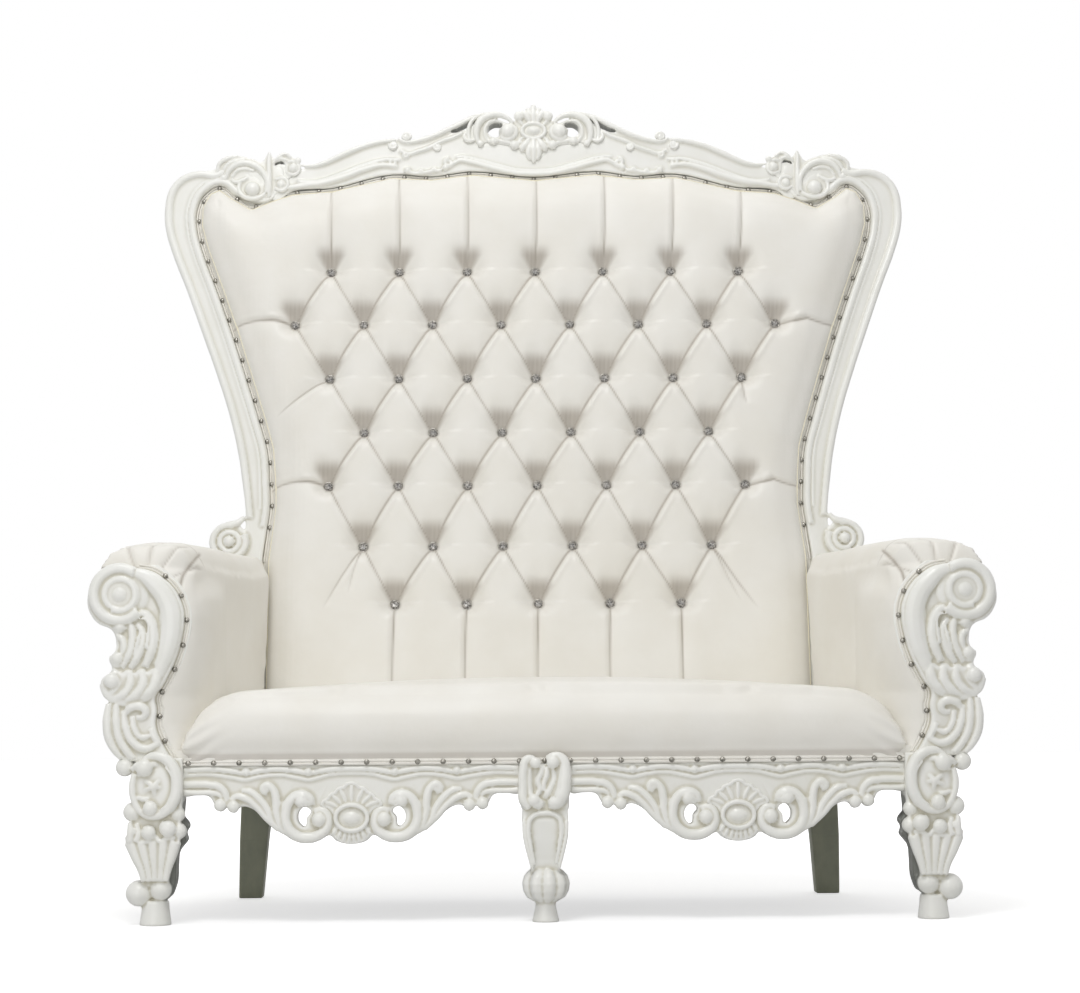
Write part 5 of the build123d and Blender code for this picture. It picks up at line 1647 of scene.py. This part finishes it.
# The legs are drawn upright in millimetres: across, depth as it is on the chair, and height
upright_mm = Matrix.Diagonal((mm, mm, mm, 1))
onto_leg = Matrix(((1, 0, 0, 0), (0, 0, -1, leg_front), (0, 1, 0, 0), (0, 0, 0, 1)))


# The wavy inner side of a front leg, behind its carved face
leg_side = [
    (730, 222), (715, 214), (701, 203), (694, 190), (700, 177), (697, 164), (705, 152), (713, 141),
    (716, 117), (717, 88), (721, 71), (732, 52),
]


def leg_skin(solid, relief):
    """A leg's posts and turnings, in depth, joined with the carving on its front."""
    mesh = bpy.data.meshes.new("relief")
    relief.shape.to_mesh(mesh)
    relief.shape.free()
    mesh.transform(onto_leg)
    solid.take(mesh)
    return solid.mesh(2.1, 6, 0.7)


def carve_front_leg():
    """A front leg: a carved block with an oval loop, a fluted taper, two ankle balls and a plain foot."""
    solid = Carving(upright_mm)
    solid.take(stacked([
        (168, 707, 811, leg_front + 4, leg_back), (186, 706, 808, leg_front + 4, leg_back),
        (204, 706, 797, leg_front + 3, leg_back),
        (240, 703, 794, leg_front + 5, leg_back), (322, 703, 794, leg_front + 5, leg_back),
    ]))
    solid.take(stacked([
        (76, 730, 778, leg_front + 13, leg_back - 14), (100, 726, 781, leg_front + 10, leg_back - 11),
        (130, 716, 796, leg_front + 6, leg_back - 7), (156, 708, 811, leg_front + 3, leg_back - 3),
        (172, 706, 813, leg_front + 2, leg_back - 1),
    ]))
    foot = [(0.5, 0), (30, 0), (31, 2), (30, 8), (27, 30), (26, 46), (0.5, 52)]
    solid.take(turned(foot, (757, (leg_front + leg_back) / 2, 0)))
    ankle_depth = leg_front + 29
    for x, z, radius in ((788, 62, 26), (745, 70, 24)):
        turn = Matrix.Translation((x, ankle_depth, z)) @ Matrix.Diagonal((1, 1.15, 0.98, 1))
        bmesh.ops.create_uvsphere(solid.shape, u_segments=32, v_segments=20, radius=radius, matrix=turn)
    side_balls = ((815, 305, 18), (799, 219, 19), (712, 214, 15), (710, 182, 16))
    for x, z, radius in side_balls:
        turn = Matrix.Translation((x, leg_front + 12, z))
        bmesh.ops.create_uvsphere(solid.shape, u_segments=28, v_segments=18, radius=radius, matrix=turn)
    relief = Carving(upright_mm, -2.0)
    relief.oval((755, 270), 49, 63, 7, 0)
    loop = [
        (778, 319, 6), (756, 327, 9), (732, 319, 11), (716, 297, 12), (712, 270, 12), (718, 241, 12),
        (735, 220, 10), (757, 211, 8), (778, 217, 7), (794, 240, 7), (799, 268, 7), (795, 292, 6),
    ]
    relief.strokes(loop, lift=0.45)
    relief.strokes([(735, 306, 1.8), (722, 288, 2), (719, 262, 2), (727, 238, 2), (745, 222, 1.8)], lift=7.0)
    swirl = [(800, 300, 4), (787, 309, 8), (770, 305, 10), (758, 311, 6), (747, 309, 3)]
    relief.strokes(swirl, lift=0.9)
    relief.balls((775, 304, 17), lift=0.45)
    for x, z in ((744, 283), (741, 266), (755, 249), (777, 259), (775, 281)):
        relief.strokes([(757, 268, 6), ((757 + x) / 2, (268 + z) / 2, 4.5), (x, z, 2.5)], lift=1.4)
    relief.strokes([(788, 290, 3), (776, 292, 4.5), (764, 290, 3)], lift=1.6)
    relief.strokes([(789, 248, 3), (776, 244, 4.5), (765, 246, 3)], lift=1.6)
    relief.balls((763, 227, 14), lift=0.7)
    relief.balls((766, 180, 14), (729, 187, 16), (799, 182, 9), lift=0.35)
    relief.strokes(spiral((729, 187), 15, 5, 60, -1.4, 4, 2.5), lift=1.4)
    relief.strokes(spiral((766, 180), 15, 10, 200, 0.8, 3.5, 3), lift=0.9)
    low_leaf = ([(804, 200, 4), (801, 182, 8), (803, 162, 7)], [(790, 196, 3), (786, 178, 6), (791, 163, 6)],
                [(753, 172, 4), (744, 163, 5), (732, 168, 5), (716, 170, 4)],
                [(786, 170, 3), (776, 163, 5), (762, 165, 5), (753, 171, 3)])
    for line in low_leaf:
        relief.strokes(line, lift=0.3)
    for top, bottom in ((802, 775), (781, 764), (759, 754), (738, 744), (717, 734)):
        middle = top + (bottom - top) * 0.40
        relief.strokes([(top, 162, 13.5), (middle, 134, 11.5), (bottom + (top - bottom) * 0.2, 108, 8.5),
                        (bottom, 86, 6.5)], lift=-0.5)
    relief.board([leg_side + [(760, 52, 1), (760, 222, 1)]], leg_front - leg_back, -24, 2.0)
    skin = leg_skin(solid, relief)
    x, y, z = points_of(skin).T
    # Dark grey painted shade on the leg's inner side, behind its carved face.
    behind = smooth_step(y, -0.404, -0.397) * smooth_step(0.760 - x, 0, 0.012)
    store(skin, "painted_side_shade", behind * (1 - smooth_step(z, 0.235, 0.250)) * smooth_step(z, 0.045, 0.050))
    both_sides("front_leg_carved", skin, "front_leg", slot="white_lacquer")


def carve_middle_leg():
    """The middle leg: a draped block, a taper with a hollow spoon panel, a fluted bulb and a plain foot."""
    middle = (leg_front + leg_back) / 2
    solid = Carving(upright_mm)
    solid.take(stacked([
        (212, -42, 42, leg_front + 8, leg_back), (222, -47, 47, leg_front + 5, leg_back),
        (300, -47, 47, leg_front + 5, leg_back), (306, -47, 47, leg_front + 9, leg_back),
    ]))
    solid.take(stacked([(300, -47, 47, -393, leg_back), (322, -47, 47, -393, leg_back)]))
    solid.take(stacked([
        (98, -27, 27, leg_front + 15, leg_back - 13), (125, -33, 33, leg_front + 12, leg_back - 10),
        (160, -41, 41, leg_front + 7, leg_back - 6), (195, -45, 45, leg_front + 4, leg_back - 2),
        (216, -44, 44, leg_front + 6, leg_back),
    ]))
    bulb = [(0.5, 38), (22, 39), (36, 47), (43, 60), (45, 75), (41, 89), (32, 99), (22, 105), (0.5, 107)]
    solid.take(turned(bulb, (0, middle, 0), 90, 9, 0.16))
    foot = [(0.5, 0), (26, 0), (27, 2), (25, 8), (20, 30), (19, 44), (0.5, 50)]
    solid.take(turned(foot, (0, middle, 0)))
    relief = Carving(upright_mm, -4.0)
    spoon = [
        (-21, 112, 3), (-29, 150, 4), (-33, 185, 4.5), (-26, 203, 4.5), (-1, 211, 4.5), (25, 203, 4.5),
        (31, 185, 4.5), (27, 150, 4), (19, 112, 3),
    ]
    relief.strokes(spoon, lift=0.2)
    edges = ([(-42, 195, 4), (-40, 165, 4.5), (-31, 125, 4), (-26, 104, 3)],
             [(42, 195, 4), (40, 165, 4.5), (31, 125, 4), (26, 104, 3)])
    for line in edges:
        relief.strokes(line, lift=-0.2)
    block = (
        [(-20, 318, 4), (-36, 314, 7), (-42, 296, 7), (-43, 262, 7), (-42, 236, 8), (-34, 224, 7)],
        [(-30, 306, 3), (-31, 280, 4), (-30, 256, 4.5), (-26, 240, 6), (-14, 228, 8), (-6, 236, 5)],
        [(2, 316, 4), (20, 322, 6), (35, 314, 8), (39, 296, 9), (37, 270, 11), (32, 246, 12), (20, 230, 10),
         (6, 228, 6)],
        [(14, 298, 3), (18, 280, 4), (12, 262, 4.5), (4, 248, 5), (0, 240, 3)],
        [(-4, 304, 3), (-8, 288, 4), (-14, 272, 4), (-10, 258, 4), (-16, 246, 4)],
        [(4, 300, 3), (3, 284, 4), (-2, 270, 3.5), (-3, 254, 3)],
        [(28, 300, 3), (27, 276, 4), (20, 254, 4), (12, 242, 3)],
    )
    for line in block:
        relief.strokes([(x, z, radius * 1.3) for x, z, radius in line], lift=0.1)
    relief.balls((-18, 308, 11), (15, 309, 12.5), (-22, 236, 12), (-35, 224, 7), (18, 232, 12), lift=0.5)
    mesh = leg_skin(solid, relief)
    piece = new_piece("front_leg_middle_carved", mesh, "white_lacquer")
    finish(piece, "front_leg_middle", slot="white_lacquer")


# Plain pieces


def bevelled(mesh, width, segments=3):
    """A CAD shape with its loose triangles merged and its hard edges rounded."""
    return shape_with(
        mesh,
        ("DECIMATE", {"decimate_type": "DISSOLVE", "angle_limit": radians(2)}),
        ("BEVEL", {"width": width, "segments": segments, "limit_method": "ANGLE", "angle_limit": radians(25)}),
    )


def mesh_of(name):
    sewn = merged_copy(name)
    mesh = bpy.data.meshes.new(name)
    sewn.to_mesh(mesh)
    sewn.free()
    return mesh


def make_plain_pieces():
    for side in ("right", "left"):
        # The rear legs take a dark grey that is painted shade.
        leg = bevelled(mesh_of(f"rear_leg_{side}"), 0.003)
        finish(new_piece(f"rear_leg_round_{side}", leg, "grey_leg_finish"), f"rear_leg_{side}",
               slot="grey_leg_finish")
        panel = bevelled(mesh_of(f"outside_arm_{side}"), 0.0012, 2)
        store(panel, "leather_painted_shade", np.zeros(len(panel.vertices)))
        finish(new_piece(f"outside_arm_leather_{side}", panel, "white_leather"), f"outside_arm_{side}",
               slot="white_leather")
    panel = bevelled(mesh_of("outside_back"), 0.0012, 2)
    store(panel, "leather_painted_shade", np.zeros(len(panel.vertices)))
    finish(new_piece("outside_back_leather", panel, "white_leather"), "outside_back", slot="white_leather")
    # The cover's hem, turned down over the rear seat rail
    hem_place = front_place(0.1925)
    hem = Carving(hem_place)
    hem.board([[(-696, 263.5, 1), (696, 263.5, 1), (696, 327, 1), (-696, 327, 1)]], -1.8, 0.6, 0.5)
    mesh = bpy.data.meshes.new("outside_back_hem")
    hem.shape.to_mesh(mesh)
    hem.shape.free()
    mesh.transform(hem_place)
    finish(new_piece("outside_back_hem", mesh, "white_leather"), "outside_back", slot="white_leather")


# Room


def floor_material():
    """A pale floor that keeps the chair's shadow and looks near white to the camera."""
    material, tree, shader = start_material("floor", 0.9)
    shader.inputs["Base Color"].default_value = (0.80, 0.80, 0.80, 1)
    seen = add_node(tree, "ShaderNodeLightPath")
    shader.inputs["Emission Color"].default_value = (1, 1, 1, 1)
    far = add_node(tree, "ShaderNodeVectorMath", operation="LENGTH")
    tree.links.new(object_coordinates(tree), far.inputs[0])
    lift = ranged(tree, far.outputs["Value"], 1.0, 2.3, floor_lift, 1.0)
    lifted = add_node(tree, "ShaderNodeMath", operation="MULTIPLY")
    tree.links.new(seen.outputs["Is Camera Ray"], lifted.inputs[0])
    tree.links.new(lift, lifted.inputs[1])
    tree.links.new(lifted.outputs[0], shader.inputs["Emission Strength"])
    return material


floor_lift = 0.55
world_level = 0.42
key_power = 74
fill_power = 27


def make_room():
    world = bpy.data.worlds.new("studio")
    world.use_nodes = True
    scene.world = world
    tree = world.node_tree
    background = tree.nodes["Background"]
    background.inputs["Color"].default_value = (1, 1, 1, 1)
    rays = add_node(tree, "ShaderNodeLightPath")
    seen = rays.outputs["Is Camera Ray"]
    for kind in ("Is Glossy Ray", "Is Transmission Ray"):
        either = add_node(tree, "ShaderNodeMath", operation="MAXIMUM")
        tree.links.new(seen, either.inputs[0])
        tree.links.new(rays.outputs[kind], either.inputs[1])
        seen = either.outputs[0]
    tree.links.new(ranged(tree, seen, 0, 1, world_level, 1.0), background.inputs["Strength"])
    sheet = bmesh.new()
    bmesh.ops.create_grid(sheet, x_segments=1, y_segments=1, size=14)
    mesh = bpy.data.meshes.new("floor")
    sheet.to_mesh(mesh)
    sheet.free()
    floor = new_piece("floor", mesh)
    mesh.materials.append(floor_material())
    lamps = (
        ("key", (-0.7, -2.7, 4.7), 1.5, key_power), ("fill", (-1.4, -4.2, 1.3), 2.4, fill_power),
        ("above", (0.2, 0.4, 4.4), 2.6, key_power / 3),
    )
    target = Vector((0, 0, 0.8))
    for name, place, size, power in lamps:
        data = bpy.data.lights.new(name, "AREA")
        data.size = size
        data.energy = power
        lamp = bpy.data.objects.new(name, data)
        lamp.location = place
        lamp.rotation_euler = (target - Vector(place)).to_track_quat("-Z", "Y").to_euler()
        scene.collection.objects.link(lamp)
    scene.view_settings.view_transform = "Standard"


make_camera()
make_room()
dress_cad_nodes()
make_back_leather()
make_buttons()
make_trims()
make_pads()
carve_stile()
carve_crest_rail()
carve_cartouche()
carve_crest_curls()
carve_shoulder()
carve_arm_front()
carve_apron()
carve_shell()
carve_front_leg()
carve_middle_leg()
make_plain_pieces()
